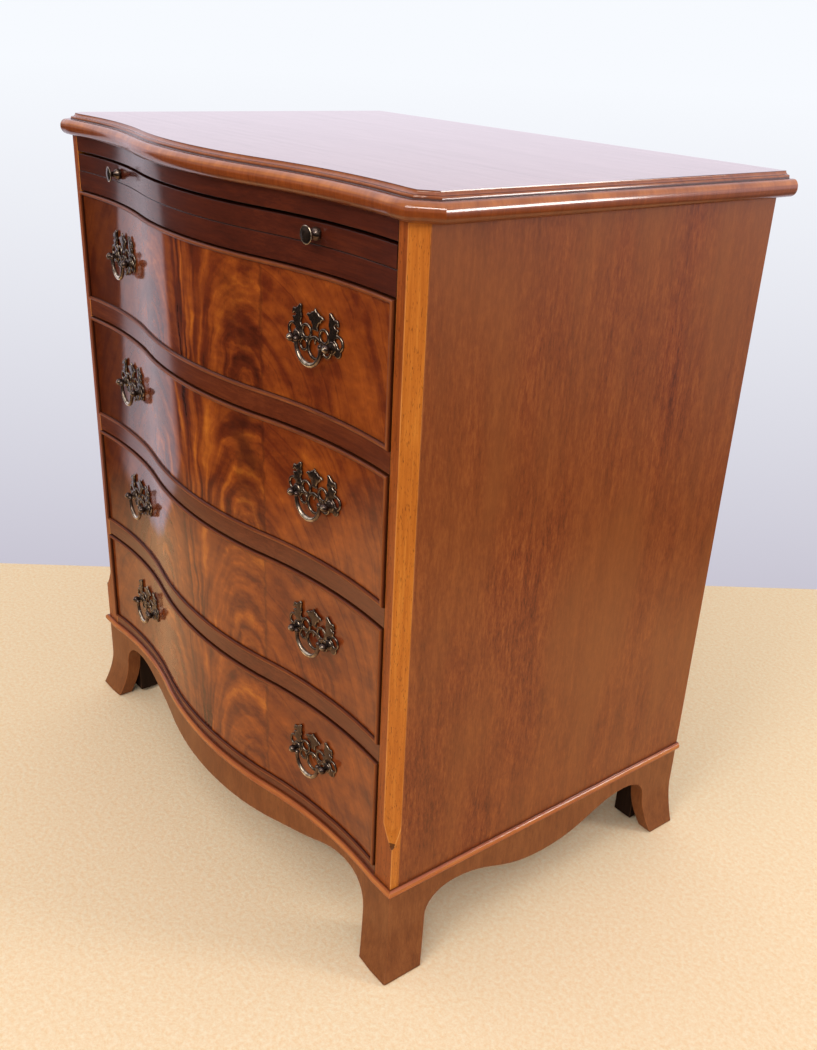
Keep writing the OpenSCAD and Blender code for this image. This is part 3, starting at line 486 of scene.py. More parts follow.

# %% [markdown]
# ## Boards and rails: the model's own solids with softened edges
#
# A cabinet maker breaks every edge with a stroke of glasspaper, and the thin bright line that this leaves is
# what tells the eye that a board is real. The imported solids already have the right shape, so each board is a
# copy of its solid: the loose triangles are merged, flat areas become single faces, the sharp edges get a
# small bevel, and the bevel's faces are marked as wear, or with a negative number as dirt and painted shade
# where they border a gap or the floor. Normals weighted by area keep the flats flat.


# %% Softened copies of the solids
# an edge is broken where its faces turn by more than the first, and where it is longer than so many bevels
SHARP_EDGE, SHORT_EDGE = math.radians(28), 2.4


def finish_piece(piece, body, nodes, finish=None):
    """Links a finished piece, and gives it its body and the nodes that it stands for."""
    if finish:
        piece.data.materials.clear()
        piece.data.materials.append(finish)
    if piece.name not in bpy.context.scene.collection.all_objects:
        bpy.context.scene.collection.objects.link(piece)
    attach(piece, body)
    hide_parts(*nodes)
    return piece


def even_normals(piece):
    """Normals weighted by face area, kept in the mesh itself."""
    bpy.context.scene.collection.objects.link(piece)
    weights = piece.modifiers.new("even normals", "WEIGHTED_NORMAL")
    weights.keep_sharp = True
    graph = bpy.context.evaluated_depsgraph_get()
    mesh = bpy.data.meshes.new_from_object(piece.evaluated_get(graph), depsgraph=graph)
    piece.modifiers.clear()
    piece.data = mesh


def softened(node, body, finish, width=0.7, sole=0.0, second=None, pick=None, dust_and_shade=None, edge_wear_and_shade=1.0):
    """A copy of a solid with broken edges, which replaces it. width and sole are the bevels of all edges and
    of those on the floor, in millimetres; the bevel on the floor is painted dark, as dirt and painted shade
    where the board meets the floor. rubbed is the value for the other bevels: wear above zero, dirt and
    painted shade below. pick says which faces take the second finish, and mark which are painted dark as
    dust and painted shade."""
    bm = bmesh.new()
    bm.from_mesh(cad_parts[node].data)
    bmesh.ops.remove_doubles(bm, verts=bm.verts, dist=1e-6)
    bmesh.ops.dissolve_limit(bm, angle_limit=math.radians(0.2), verts=bm.verts, edges=bm.edges)
    worn = bm.faces.layers.float.new("worn")
    for offset, steps, low in ((sole, 3, True), (width, 2, False)):
        if offset == 0:
            continue
        edges = [e for e in bm.edges if len(e.link_faces) == 2 and e.calc_face_angle(0) > SHARP_EDGE
                 and e.calc_length() > SHORT_EDGE * offset * MM
                 and (not low or max(v.co.z for v in e.verts) < 1 * MM)]
        rim = bmesh.ops.bevel(bm, geom=edges, offset=offset * MM, segments=steps, profile=0.5, affect="EDGES",
                              clamp_overlap=False)
        # bevels on the floor are painted dark as dirt and painted shade; the others take the given value,
        # which on the rails paints their gaps dark as painted shade
        for face in rim["faces"]:
            face[worn] = -0.7 if low else edge_wear_and_shade
    for face in bm.faces:
        face.smooth = True
        if dust_and_shade and dust_and_shade(face):
            face[worn] = -0.9
        if pick and pick(face):
            face.material_index = 1
    mesh = bpy.data.meshes.new("piece " + node)
    bm.to_mesh(mesh)
    bm.free()
    mesh.set_sharp_from_angle(angle=math.radians(50))
    mesh.materials.append(finish)
    if second:
        mesh.materials.append(second)
    piece = bpy.data.objects.new("soft_" + node, mesh)
    even_normals(piece)
    return finish_piece(piece, body, [node])


for node, finish, slot in (
        ("side_left", side_mahogany, "mahogany"), ("side_right", side_mahogany, "mahogany"),
        ("back_panel", back_timber, "back_timber"), ("runners", lining_timber, "drawer_timber"),
        ("guides", lining_timber, "drawer_timber"), ("drawer_stops", lining_timber, "drawer_timber"),
        ("foot_blocks", stained_timber_and_shade, "drawer_timber")):
    softened(node, "case", finish)
# the rails, frieze and bottom board: their broken edges are painted dark, dirt and painted shade in the gaps
# beside the drawers
for node, finish in (("frieze_rail", frieze_mahogany), ("slide_rail", frieze_mahogany),
                     ("divider_rail_1", rail_mahogany), ("divider_rail_2", rail_mahogany),
                     ("divider_rail_3", rail_mahogany), ("bottom_board", rail_mahogany)):
    softened(node, "case", finish, width=0.5, edge_wear_and_shade=-0.8)
# the inner faces of the plinth take the dark stained timber: the inside is left unpolished, and its near-black
# is partly painted shade
for node, inward in (("plinth_front", (0, 1, 0)), ("plinth_left", (1, 0, 0)), ("plinth_right", (-1, 0, 0))):
    softened(node, "case", plinth_mahogany, sole=2.5, second=stained_timber_and_shade,
             pick=lambda face: face.normal.dot(Vector(inward)) > 0.6)
softened("rear_brackets", "case", stained_timber_and_shade, sole=2.5)

# %% [markdown]
# The posts have a wide canted face and a narrow flat one beside the drawers. The flat one takes a darker copy
# of the post's wood, as painted shade, so the cant reads lighter. The cant ends in a small pointed stop near
# the plinth. Wax and dust gather in that stop and its recess lies in shade, so its upward slopes are painted
# dark for both: dust and painted shade.

# %% Corner posts, slide and drawer boxes
# the height that the stops of the posts reach
STOP_Z = 168.0
# faces turned to the front take the darker copy, a painted shade; the stop's upward slopes are painted dark as
# dust and painted shade
for node in ("corner_post_left", "corner_post_right"):
    softened(node, "case", post_mahogany, second=post_front_painted_shade,
             pick=lambda face: face.normal.y < -0.95,
             dust_and_shade=lambda face: face.calc_center_median().z < STOP_Z * MM and face.normal.z > 0.12)
softened("slide_board", "brushing_slide", top_mahogany, width=0.5)
# the lipping's broken edges are painted dark, dirt and painted shade in the gap under the frieze
softened("slide_lipping", "brushing_slide", frieze_mahogany, width=0.5, edge_wear_and_shade=-0.8)
for i in DRAWERS:
    body = "drawer_%d" % i
    softened(body + "_front", body, flames[i - 1], width=0.3)
    softened(body + "_sides", body, lining_timber)
    softened(body + "_back", body, lining_cross)
    softened(body + "_bottom", body, lining_cross, width=0.3)

# %% [markdown]
# ## Mouldings that follow a path
#
# The cockbeads, the base moulding and the moulded edge of the top are all one idea: a short section run along
# a line, with a mitre at each corner. On the real chest they are planed in lengths and cut at 45 degrees. In
# Blender, Curve to Mesh would thin the section in every mitre, so this tree does what the saw does: each
# point of the path carries a vector that says where one millimetre outward goes, and at a corner that vector
# is longer, which is the mitre. The tree lays a grid of path points by section points and moves each there.

# %% A Geometry Nodes tree that runs a section along a path
# points nearer to each other than this, in metres, become one
WELD = 0.000002


def new_tree(name, *sockets):
    """An empty Geometry Nodes tree with its inputs, each given by its name, its kind and its default."""
    tree = bpy.data.node_groups.new(name, "GeometryNodeTree")
    for label, kind, start in (("Geometry", "Geometry", None), *sockets, ("Finish", "Material", None)):
        socket = tree.interface.new_socket(label, in_out="INPUT", socket_type="NodeSocket" + kind)
        if start is not None:
            socket.default_value = start
    tree.interface.new_socket("Geometry", in_out="OUTPUT", socket_type="NodeSocketGeometry")
    return tree, add(tree, "NodeGroupInput")


def end_tree(tree, geometry, given):
    """Makes the copies real, gives them the finish and ends the tree."""
    real = add(tree, "GeometryNodeRealizeInstances", {"Geometry": geometry})
    done = add(tree, "GeometryNodeSetMaterial", {"Geometry": real.outputs[0],
                                                 "Material": given.outputs["Finish"]})
    add(tree, "NodeGroupOutput", {"Geometry": done.outputs[0]})
    return tree


def moulding_tree():
    """Runs the Section object's points along the path object's points, by their outward and up vectors."""
    tree, given = new_tree("run a moulding", ("Section", "Object", None), ("Section Size", "Float", 1.0),
                           ("Weld Distance", "Float", WELD))
    path = given.outputs["Geometry"]
    section = add(tree, "GeometryNodeObjectInfo", {"Object": given.outputs["Section"]}).outputs["Geometry"]
    stations = add(tree, "GeometryNodeAttributeDomainSize", {"Geometry": path}).outputs["Point Count"]
    corners = add(tree, "GeometryNodeAttributeDomainSize", {"Geometry": section}).outputs["Point Count"]
    grid = add(tree, "GeometryNodeMeshGrid", {"Vertices X": stations, "Vertices Y": corners})
    index = add(tree, "GeometryNodeInputIndex").outputs[0]
    share = add(tree, "ShaderNodeMath", {0: index, 1: corners}, operation="DIVIDE")
    station = add(tree, "ShaderNodeMath", {0: share.outputs[0]}, operation="FLOOR").outputs[0]
    corner = add(tree, "ShaderNodeMath", {0: index, 1: corners}, operation="MODULO").outputs[0]
    read = {}
    for name, source, kind, where in (("position", path, "FLOAT_VECTOR", station),
                                      ("outward", path, "FLOAT_VECTOR", station),
                                      ("up", path, "FLOAT_VECTOR", station), ("run", path, "FLOAT", station),
                                      ("shape", section, "FLOAT_VECTOR", corner),
                                      ("worn", section, "FLOAT", corner),
                                      ("girth", section, "FLOAT", corner)):
        if name in ("position", "shape"):
            field = add(tree, "GeometryNodeInputPosition").outputs[0]
        else:
            field = add(tree, "GeometryNodeInputNamedAttribute", {"Name": name}, data_type=kind).outputs[0]
        read[name] = add(tree, "GeometryNodeSampleIndex", {"Geometry": source, "Value": field,
                                                           "Index": where}, data_type=kind).outputs[0]
    sized = add(tree, "ShaderNodeVectorMath", {0: read["shape"], "Scale": given.outputs["Section Size"]},
                operation="SCALE")
    reach = add(tree, "ShaderNodeSeparateXYZ", {0: sized.outputs[0]})
    out = add(tree, "ShaderNodeVectorMath", {0: read["outward"], "Scale": reach.outputs[0]},
              operation="SCALE")
    lift = add(tree, "ShaderNodeVectorMath", {0: read["up"], "Scale": reach.outputs[1]}, operation="SCALE")
    moved = add(tree, "ShaderNodeVectorMath", {0: out.outputs[0], 1: lift.outputs[0]}, operation="ADD")
    moved = add(tree, "ShaderNodeVectorMath", {0: moved.outputs[0], 1: read["position"]}, operation="ADD")
    along = add(tree, "ShaderNodeCombineXYZ", {0: read["run"], 1: read["girth"]})
    hold = add(tree, "GeometryNodeCaptureAttribute", {"Geometry": grid.outputs["Mesh"]})
    hold.capture_items.new("VECTOR", "where")
    hold.capture_items.new("FLOAT", "wear")
    tree.links.new(along.outputs[0], hold.inputs[1])
    tree.links.new(read["worn"], hold.inputs[2])
    laid = add(tree, "GeometryNodeSetPosition", {"Geometry": hold.outputs[0], "Position": moved.outputs[0]})
    mapped = add(tree, "GeometryNodeStoreNamedAttribute", {"Geometry": laid.outputs[0], "Name": "UVMap",
                                                           "Value": hold.outputs[1]},
                 data_type="FLOAT2", domain="CORNER")
    edge_wear_and_shade = add(tree, "GeometryNodeStoreNamedAttribute", {"Geometry": mapped.outputs[0], "Name": "worn",
                                                           "Value": hold.outputs[2]},
                 data_type="FLOAT", domain="POINT")
    welded = add(tree, "GeometryNodeMergeByDistance", {"Geometry": edge_wear_and_shade.outputs[0],
                                                       "Distance": given.outputs["Weld Distance"]})
    return end_tree(tree, welded.outputs[0], given)


RUN_MOULDING = moulding_tree()


def points_object(name, points, **attributes):
    """Bare points with attributes, for a tree to read."""
    mesh = bpy.data.meshes.new(name)
    mesh.from_pydata([tuple(p) for p in points], [], [])
    for key, values in attributes.items():
        kind = "FLOAT" if isinstance(values[0], float) else "FLOAT_VECTOR"
        layer = mesh.attributes.new(key, kind, "POINT")
        flat = values if kind == "FLOAT" else [c for v in values for c in v]
        layer.data.foreach_set("value" if kind == "FLOAT" else "vector", flat)
    made = bpy.data.objects.new(name, mesh)
    bpy.context.scene.collection.objects.link(made)
    return made


def set_inputs(modifier, **values):
    """Sets a tree's inputs by their identifiers."""
    for item in modifier.node_group.interface.items_tree:
        key = item.name.replace(" ", "_").lower()
        if item.in_out == "INPUT" and key in values:
            modifier[item.identifier] = values[key]


def plain_mesh(carrier):
    """The evaluated result of a carrier's modifiers as a plain mesh."""
    graph = bpy.context.evaluated_depsgraph_get()
    graph.update()
    return bpy.data.meshes.new_from_object(carrier.evaluated_get(graph), depsgraph=graph)


def lengths(points):
    """Distances along a row of points, from its start."""
    total = [0.0]
    for a, b in zip(points, points[1:]):
        total.append(total[-1] + (Vector(b) - Vector(a)).length)
    return total


def shut(bm, mesh, sharp=35.0):
    """Writes a closed bmesh to a mesh: faces outwards, smooth, with creases past so many degrees."""
    bmesh.ops.recalc_face_normals(bm, faces=bm.faces)
    for face in bm.faces:
        face.smooth = True
    bm.to_mesh(mesh)
    bm.free()
    mesh.set_sharp_from_angle(angle=math.radians(sharp))
    return mesh


def run_moulding(name, path, outward, up, section, finish, body, nodes):
    """A mitred moulding as a finished piece. section is (outward, up, wear) in millimetres, closed."""
    shape = [Vector((a * MM, b * MM, 0)) for a, b, _ in section]
    wear = [float(row[2]) for row in section]
    track = points_object("path " + name, path, outward=outward, up=up, run=lengths(path))
    cutter = points_object("section " + name, shape, girth=lengths(shape), worn=wear)
    modifier = track.modifiers.new("run", "NODES")
    modifier.node_group = RUN_MOULDING
    set_inputs(modifier, section=cutter, section_size=1.0, weld_distance=WELD, finish=finish)
    mesh = plain_mesh(track)
    for spare in (track, cutter):
        bpy.data.objects.remove(spare)
    bm = bmesh.new()
    bm.from_mesh(mesh)
    bmesh.ops.holes_fill(bm, edges=[e for e in bm.edges if e.is_boundary], sides=0)
    return finish_piece(bpy.data.objects.new(name, shut(bm, mesh, sharp=38)), body, nodes)


print("moulding tree nodes", len(RUN_MOULDING.nodes))

# %% [markdown]
# ## Cockbeads
#
# A cockbead is a thin strip let into the edge of a drawer front, with its nose rounded and standing 3 mm
# proud. It frames the veneer and guards its edges. Each one is a closed loop with four mitres. The long runs
# follow the serpentine, so the path has a point every few millimetres there, and none on the short ends.

# %% Cockbeads on the four drawers
# from the outer edge inwards, out of the front, and wear: painted dark at the wood and on the lower sides,
# dirt and painted shade, and painted lighter on the nose, a painted highlight
bead_section = [(0.0, -9.0, -0.8), (0.0, 0.6, -0.8)]
bead_section += [(2 - 2 * math.cos(math.radians(a)), 1 + 2 * math.sin(math.radians(a)),
                  0.6 if 60 <= a <= 105 else 0.0 if 20 < a < 160 else -0.4 if 5 < a < 175 else -0.8)
                 for a in range(0, 181, 15)]
bead_section += [(4.0, 0.6, -0.9), (4.0, -0.1, -0.9), (4.0, -9.0, -0.9), (0.0, -9.0, -0.8)]
# the steps of a long run, and the slope of the front's line at a drawer's ends
STEPS, END_SLOPE = 100, 0.108
for i in DRAWERS:
    xs = [DRAWER_W * (2 * k / STEPS - 1) for k in range(STEPS + 1)]
    loop, inward = [], []
    for level, order, sign in ((drawer_z(i), xs, 1), (drawer_z(i) + FRONT_H, xs[::-1], -1)):
        for k, x in enumerate(order):
            corner = k in (0, STEPS)
            slope = math.copysign(END_SLOPE, x) if corner else (face_y(x + 1) - face_y(x - 1)) / 2
            lean = -math.copysign(1, x) if corner else 0.0
            loop.append(at(x, face_y(x), level))
            inward.append(Vector((lean, lean * slope, sign)))
    loop.append(loop[0].copy())
    inward.append(inward[0].copy())
    run_moulding("cockbead_%d" % i, loop, inward, [Vector((0, -1, 0))] * len(loop), bead_section,
                 bead_mahogany, "drawer_%d" % i, ["drawer_%d_cockbead" % i])

# %% [markdown]
# ## The base moulding and the moulded edge of the top
#
# The base moulding is a small rounded strip that hides the joint of case and plinth. The top's edge has two
# parts: a bold half-round nosing below, and above it a small step and ovolo that lead up to the flat. Both
# runs go from the back left corner, round the front and to the back right corner. The path is the line where
# the moulding meets the board, and at the mitred corners its outward vector has both parts of the offset.


# %% Base moulding
def three_sided(half, front, back, cant=0.0, steps=140):
    """Path round three sides, serpentine in front, and its outward vectors. cant cuts the front corners."""
    # how far a mitre leans to one side at a corner of 135 degrees
    tilt = math.tan(math.radians(22.5))
    points, out = [], []

    def put(x, y, ox, oy):
        points.append((x, y))
        out.append(Vector((ox, oy, 0)))

    put(-half, back, -1, 0)
    if cant:
        put(-half, front + cant, -1, -tilt)
    end = half - cant
    for k in range(steps + 1):
        x = end * (2 * k / steps - 1)
        side = math.copysign(1, x)
        slope = (face_y(abs(x) + 0.5) - face_y(abs(x) - 0.5)) if abs(x) < OPEN_W else 0.0
        lean = (tilt if cant else 1.0) * side if k in (0, steps) else 0.0
        put(x, face_y(x) + front, lean, -1 + lean * side * slope)
    if cant:
        put(half, front + cant, 1, -tilt)
    put(half, back, 1, 0)
    return points, out


# the moulding's section: out, up and wear, darker where it meets the wood, dirt and painted shade between the
# parts, and lighter on the upper roll
mould_section = [(0.05, 0.0, -0.8), (2.0, 0.0, -0.8), (2.9, 0.35, -0.5)]
mould_section += [(1.8 + 2.7 * math.cos(math.radians(a)), 4.5 + 4.0 * math.sin(math.radians(a)),
                   0.5 if 0 < a < 60 else 0.0) for a in range(-60, 76, 15)]
mould_section += [(1.9, 9.0, -0.5), (0.05, 9.0, -0.8), (0.05, 0.0, -0.8)]
line, out = three_sided(HALF_W, 0.0, CASE_D)
run_moulding("base_moulding_run", [at(x, y, PLINTH_H) for x, y in line], out, [Vector((0, 0, 1))] * len(line),
             mould_section, moulding_mahogany, "case", ["base_moulding"])

# %% [markdown]
# The top is two pieces on the real chest as well: a veneered panel and the solid moulded edge glued round it.
# The panel is a plain slab up to the line where the moulding starts, with a serpentine front and canted front
# corners. Its flat upper face mirrors the wall, so it is one single face.

# %% Top panel and its moulded edge
# how far the top stands past the sides and past the front and back, its thickness, its moulded edge's width
# and the cut of its front corners
TOP_SIDE, TOP_FRONT, TOP_T, EDGE_W, TOP_CANT = 14.0, 10.0, 22.0, 16.0, 12.0
# the edge's section from its lower inner corner: out, up and wear: painted shade under the roll, in the step
# and at the flat, and painted highlights on the upper roll and the small ovolo
nose = [(0.0, 0.0, -0.6), (10.6, 0.0, -0.6), (11.6, 0.5, -0.3)]
nose += [(10.2 + 5.8 * math.cos(math.radians(a)), 8.1 + 7.7 * math.sin(math.radians(a)),
          -0.45 if a < -25 else -0.15 if a < 10 else 0.7 if 30 <= a <= 70 else 0.1)
         for a in range(-70, 91, 10)]
nose += [(8.6, 15.8, 0.0), (6.6, 15.7, -0.5), (5.4, 15.8, -1.0), (5.0, 16.2, -1.0), (4.9, 17.2, 0.1),
         (4.7, 18.1, 0.5), (4.3, 18.6, 0.2), (3.8, 18.7, -1.0)]
nose += [(3.8 - 3.5 * math.sin(math.radians(a)), TOP_T - 3.3 * math.cos(math.radians(a)),
          -0.8 if a < 20 else -0.9 if a > 80 else 0.3)
         for a in range(12, 91, 13)]
nose += [(0.0, TOP_T, -0.9), (0.0, 0.0, 0.0)]
line, out = three_sided(HALF_W + TOP_SIDE - EDGE_W, EDGE_W - TOP_FRONT, CASE_D + TOP_FRONT, cant=TOP_CANT)
run_moulding("top_moulded_edge", [at(x, y, CASE_TOP) for x, y in line], out, [Vector((0, 0, 1))] * len(line),
             nose, nosing_mahogany, "case", ["top"])
bm = bmesh.new()
lower = [bm.verts.new(at(x, y, CASE_TOP)) for x, y in line]
upper = [bm.verts.new(at(x, y, CASE_TOP + TOP_T)) for x, y in line]
bm.faces.new(upper)
bm.faces.new(lower[::-1])
for k in range(len(line)):
    j = (k + 1) % len(line)
    bm.faces.new((lower[k], lower[j], upper[j], upper[k]))
bmesh.ops.recalc_face_normals(bm, faces=bm.faces)
mesh = bpy.data.meshes.new("top panel")
bm.to_mesh(mesh)
bm.free()
finish_piece(bpy.data.objects.new("top_panel", mesh), "case", ["top"], top_mahogany)

# %% [markdown]
# ## Turned fittings, placed by Geometry Nodes
#
# Knobs, posts, bolts and nuts are turned or cast round, so each is a profile spun about its axis. One is made
# at the origin of a handle's own frame, in which X runs along the plate and -Y points out of the drawer. A
# small tree then puts copies where the handles are: one or two per handle, the left handle turned the other
# way. Sixteen posts and nuts, eight plates and two knobs all go through the same tree.


# %% The tree that places fittings at both handles
def fitting_tree():
    """Copies the given fitting to both handles of a drawer."""
    tree, given = new_tree("place at both handles", ("Copies Per Handle", "Int", 2), *(
        (name, "Float", 0.0) for name in ("Centres", "From Middle", "Seat", "Height", "Turn")))
    copies = given.outputs["Copies Per Handle"]
    half = add(tree, "ShaderNodeMath", {0: copies, 1: -1.0}, operation="ADD")
    half = add(tree, "ShaderNodeMath", {0: half.outputs[0], 1: given.outputs["Centres"]},
               operation="MULTIPLY")
    half = add(tree, "ShaderNodeMath", {0: half.outputs[0], 1: -0.5}, operation="MULTIPLY")
    start = add(tree, "ShaderNodeCombineXYZ", {0: half.outputs[0]})
    step = add(tree, "ShaderNodeCombineXYZ", {0: given.outputs["Centres"]})
    row = add(tree, "GeometryNodeMeshLine", {"Count": copies, "Start Location": start.outputs[0],
                                             "Offset": step.outputs[0]})
    handle = add(tree, "GeometryNodeInstanceOnPoints", {"Points": row.outputs[0],
                                                        "Instance": given.outputs["Geometry"]})
    both = add(tree, "GeometryNodeJoinGeometry")
    for side in (-1.0, 1.0):
        x = add(tree, "ShaderNodeMath", {0: given.outputs["From Middle"], 1: side}, operation="MULTIPLY")
        angle = add(tree, "ShaderNodeMath", {0: given.outputs["Turn"], 1: side}, operation="MULTIPLY")
        place = add(tree, "ShaderNodeCombineXYZ", {0: x.outputs[0], 1: given.outputs["Seat"],
                                                   2: given.outputs["Height"]})
        spin = add(tree, "ShaderNodeCombineXYZ", {2: angle.outputs[0]})
        put = add(tree, "GeometryNodeTransform", {"Geometry": handle.outputs[0], "Rotation": spin.outputs[0],
                                                  "Translation": place.outputs[0]})
        tree.links.new(put.outputs[0], both.inputs[0])
    return end_tree(tree, both.outputs[0], given)


PLACE_FITTINGS = fitting_tree()


def place_fitting(name, mesh, body, nodes, copies, x, y, z, angle):
    """A fitting at both handles, as one finished piece on its body. x, y and z are in millimetres."""
    carrier = bpy.data.objects.new("carrier " + name, mesh)
    bpy.context.scene.collection.objects.link(carrier)
    modifier = carrier.modifiers.new("place", "NODES")
    modifier.node_group = PLACE_FITTINGS
    spot = at(x, y, z)
    set_inputs(modifier, copies_per_handle=copies, centres=CENTRES * MM, from_middle=spot.x, seat=spot.y,
               height=spot.z, turn=angle, finish=aged_brass)
    piece = bpy.data.objects.new(name, plain_mesh(carrier))
    bpy.data.objects.remove(carrier)
    return finish_piece(piece, body, nodes)


def turned(profile, steps=40):
    """A solid turned about Y in the handle's frame. profile is (radius, out, worn) from the outer end."""
    bm = bmesh.new()
    worn = bm.verts.layers.float.new("worn")
    rings = []
    for radius, out, wear in profile:
        count = 1 if radius == 0 else steps
        ring = []
        for k in range(count):
            a = 2 * math.pi * k / steps
            vert = bm.verts.new((radius * math.cos(a) * MM, -out * MM, radius * math.sin(a) * MM))
            vert[worn] = wear
            ring.append(vert)
        rings.append(ring)
    for a, b in zip(rings, rings[1:]):
        for k in range(steps):
            j = (k + 1) % steps
            if len(a) == 1:
                bm.faces.new((a[0], b[k], b[j]))
            elif len(b) == 1:
                bm.faces.new((a[k], b[0], a[j]))
            else:
                bm.faces.new((a[k], b[k], b[j], a[j]))
    return bm


# the handle's frame lies along the chord of the plate's two ends, clear of the wood at its nearest point
CLEAR = 0.15
plate_a, plate_b = HANDLE_X - PLATE_HALF, HANDLE_X + PLATE_HALF
TURN = math.atan2(face_y(plate_b) - face_y(plate_a), plate_b - plate_a)
under_plate = [plate_a + 0.5 * k for k in range(int(4 * PLATE_HALF) + 1)]
SEAT = min(face_y(x) - (x - HANDLE_X) * math.tan(TURN) for x in under_plate) - CLEAR
print("handles turned", round(math.degrees(TURN), 3), "degrees, seat", round(SEAT, 3))

# %% [markdown]
# ## Knobs of the brushing slide
#
# Each knob is a turned brass button: a domed face with a thin raised rim, a slim waist, and a rounded base
# against the wood. The shank runs back into the lipping.

# %% Knobs
knob = [(0, 13.95, 0.2), (2.4, 13.85, 0.2), (4.6, 13.5, 0.15), (6.2, 13.0, 0.05), (6.6, 12.9, 0.1),
        (6.9, 13.05, 0.6), (7.3, 13.05, 0.9), (7.65, 12.75, 0.8), (7.75, 12.3, 0.5), (7.6, 11.8, 0.2),
        (6.8, 11.3, 0.0), (4.4, 10.8, 0.0), (3.0, 10.0, 0.0), (2.5, 8.9, 0.05), (2.6, 7.6, 0.1),
        (3.2, 6.4, 0.2), (4.3, 5.3, 0.35), (5.2, 4.1, 0.45), (5.6, 2.9, 0.4), (5.6, 1.8, 0.3),
        (5.2, 0.9, 0.1), (5.1, 0.35, 0.0), (2.0, 0.3, 0.0), (2.0, -16.0, 0.0), (0, -16.0, 0.0)]
# the height of the knobs' middle, and how far to each side of it the front's slope is measured
KNOB_Z, KNOB_SIDE = 709.8, 12
knob_turn = math.atan2(face_y(HANDLE_X + KNOB_SIDE) - face_y(HANDLE_X - KNOB_SIDE), 2 * KNOB_SIDE)
place_fitting("slide_knobs_turned", shut(turned(knob), bpy.data.meshes.new("knob")), "brushing_slide",
              ["slide_knobs"], 1, HANDLE_X, face_y(HANDLE_X), KNOB_Z, knob_turn)
print("knobs turned", round(math.degrees(knob_turn), 3), "degrees")

# %% [markdown]
# ## Posts, bolts and nuts
#
# The bail hangs between two posts. Each post has a stepped collar on the plate, a short neck and a ball with
# a flat button on its nose. Its bolt goes through the drawer front to a hexagonal nut, which shows when the
# drawer is pulled out.

# %% Handle posts
r = BALL_D / 2
ball = [(0, PIVOT_OUT + 4.35, 0.9), (0.8, PIVOT_OUT + 4.3, 0.9), (1.2, PIVOT_OUT + 4.0, 0.7)]
ball += [(r * math.sin(math.radians(a)), PIVOT_OUT + r * math.cos(math.radians(a)), max(0.0, 0.75 - a / 120))
         for a in range(24, 145, 10)]
ball += [(2.2, 4.6, 0.0), (2.3, 3.9, 0.1), (3.4, 3.5, 0.3), (3.5, 3.0, 0.3), (4.7, 2.8, 0.4), (5.2, 2.3, 0.6),
         (5.25, 1.75, 0.4), (2.0, 1.7, 0.0), (2.0, -FRONT_T - 6, 0.1), (0, -FRONT_T - 6, 0.1)]
post = turned(ball, steps=32)
nut = [(0, -21.6, 0.1), (3.6, -21.6, 0.4), (4.0, -21.9, 0.6), (4.0, -24.3, 0.6), (3.6, -24.6, 0.4),
       (0, -24.6, 0.1)]
post.from_mesh(shut(turned(nut, steps=6), bpy.data.meshes.new("nut")))
post_mesh = shut(post, bpy.data.meshes.new("post with its bolt and nut"))
for i in DRAWERS:
    body = "drawer_%d" % i
    place_fitting("handle_posts_%d" % i, post_mesh, body, [body + "_handle_posts"], 2,
                  HANDLE_X, SEAT, handle_z(i), TURN)
print("post triangles", sum(len(p.vertices) - 2 for p in post_mesh.polygons))

# %% [markdown]
# ## Pierced backplates
#
# The backplate is a cast openwork of scrolls: a shield-shaped crest, two pointed wings, loops at the ends and
# a ring under the middle. It could be a curve with holes, but a cast plate has edges that are rounded all
# round, and its scrolls flow into each other. So the plate is written as distances: each scroll is a circle,
# a ring, a tapered limb or a polygon, the nearest one wins, and a little blending fills the crotches between
# them. Contours of that distance give the outline and two lines inside it, which a triangulation then raises
# to their heights.


# %% Distances of the plate's pattern
def ring_gap(x, y, cx, cy, outer, inner):
    """Distance to a flat ring, negative inside it."""
    return np.abs(np.hypot(x - cx, y - cy) - (outer + inner) / 2) - (outer - inner) / 2


def polygon_gap(x, y, corners):
    """Distance to a polygon, negative inside it."""
    best = np.full(x.shape, 1e9)
    inside = np.zeros(x.shape, bool)
    for (ax, ay), (bx, by) in zip(corners, corners[1:] + corners[:1]):
        dx, dy = bx - ax, by - ay
        t = np.clip(((x - ax) * dx + (y - ay) * dy) / (dx * dx + dy * dy), 0, 1)
        best = np.minimum(best, np.hypot(x - ax - t * dx, y - ay - t * dy))
        crosses = ((ay > y) != (by > y)) & (x < ax + (y - ay) * dx / (dy if dy else 1e-9))
        inside ^= crosses
    return np.where(inside, -best, best)


def taper_gap(x, y, x0, y0, r0, x1, y1, r1):
    """Distance to a scroll's limb that tapers from one radius to another."""
    dx, dy = x1 - x0, y1 - y0
    t = np.clip(((x - x0) * dx + (y - y0) * dy) / (dx * dx + dy * dy), 0, 1)
    return np.hypot(x - x0 - t * dx, y - y0 - t * dy) - (r0 + (r1 - r0) * t)


def blended(a, b, k=1.0):
    """The smaller of two distances, with a fillet of about k where they meet."""
    h = np.clip(0.5 + 0.5 * (b - a) / k, 0, 1)
    return b + (a - b) * h - k * h * (1 - h)


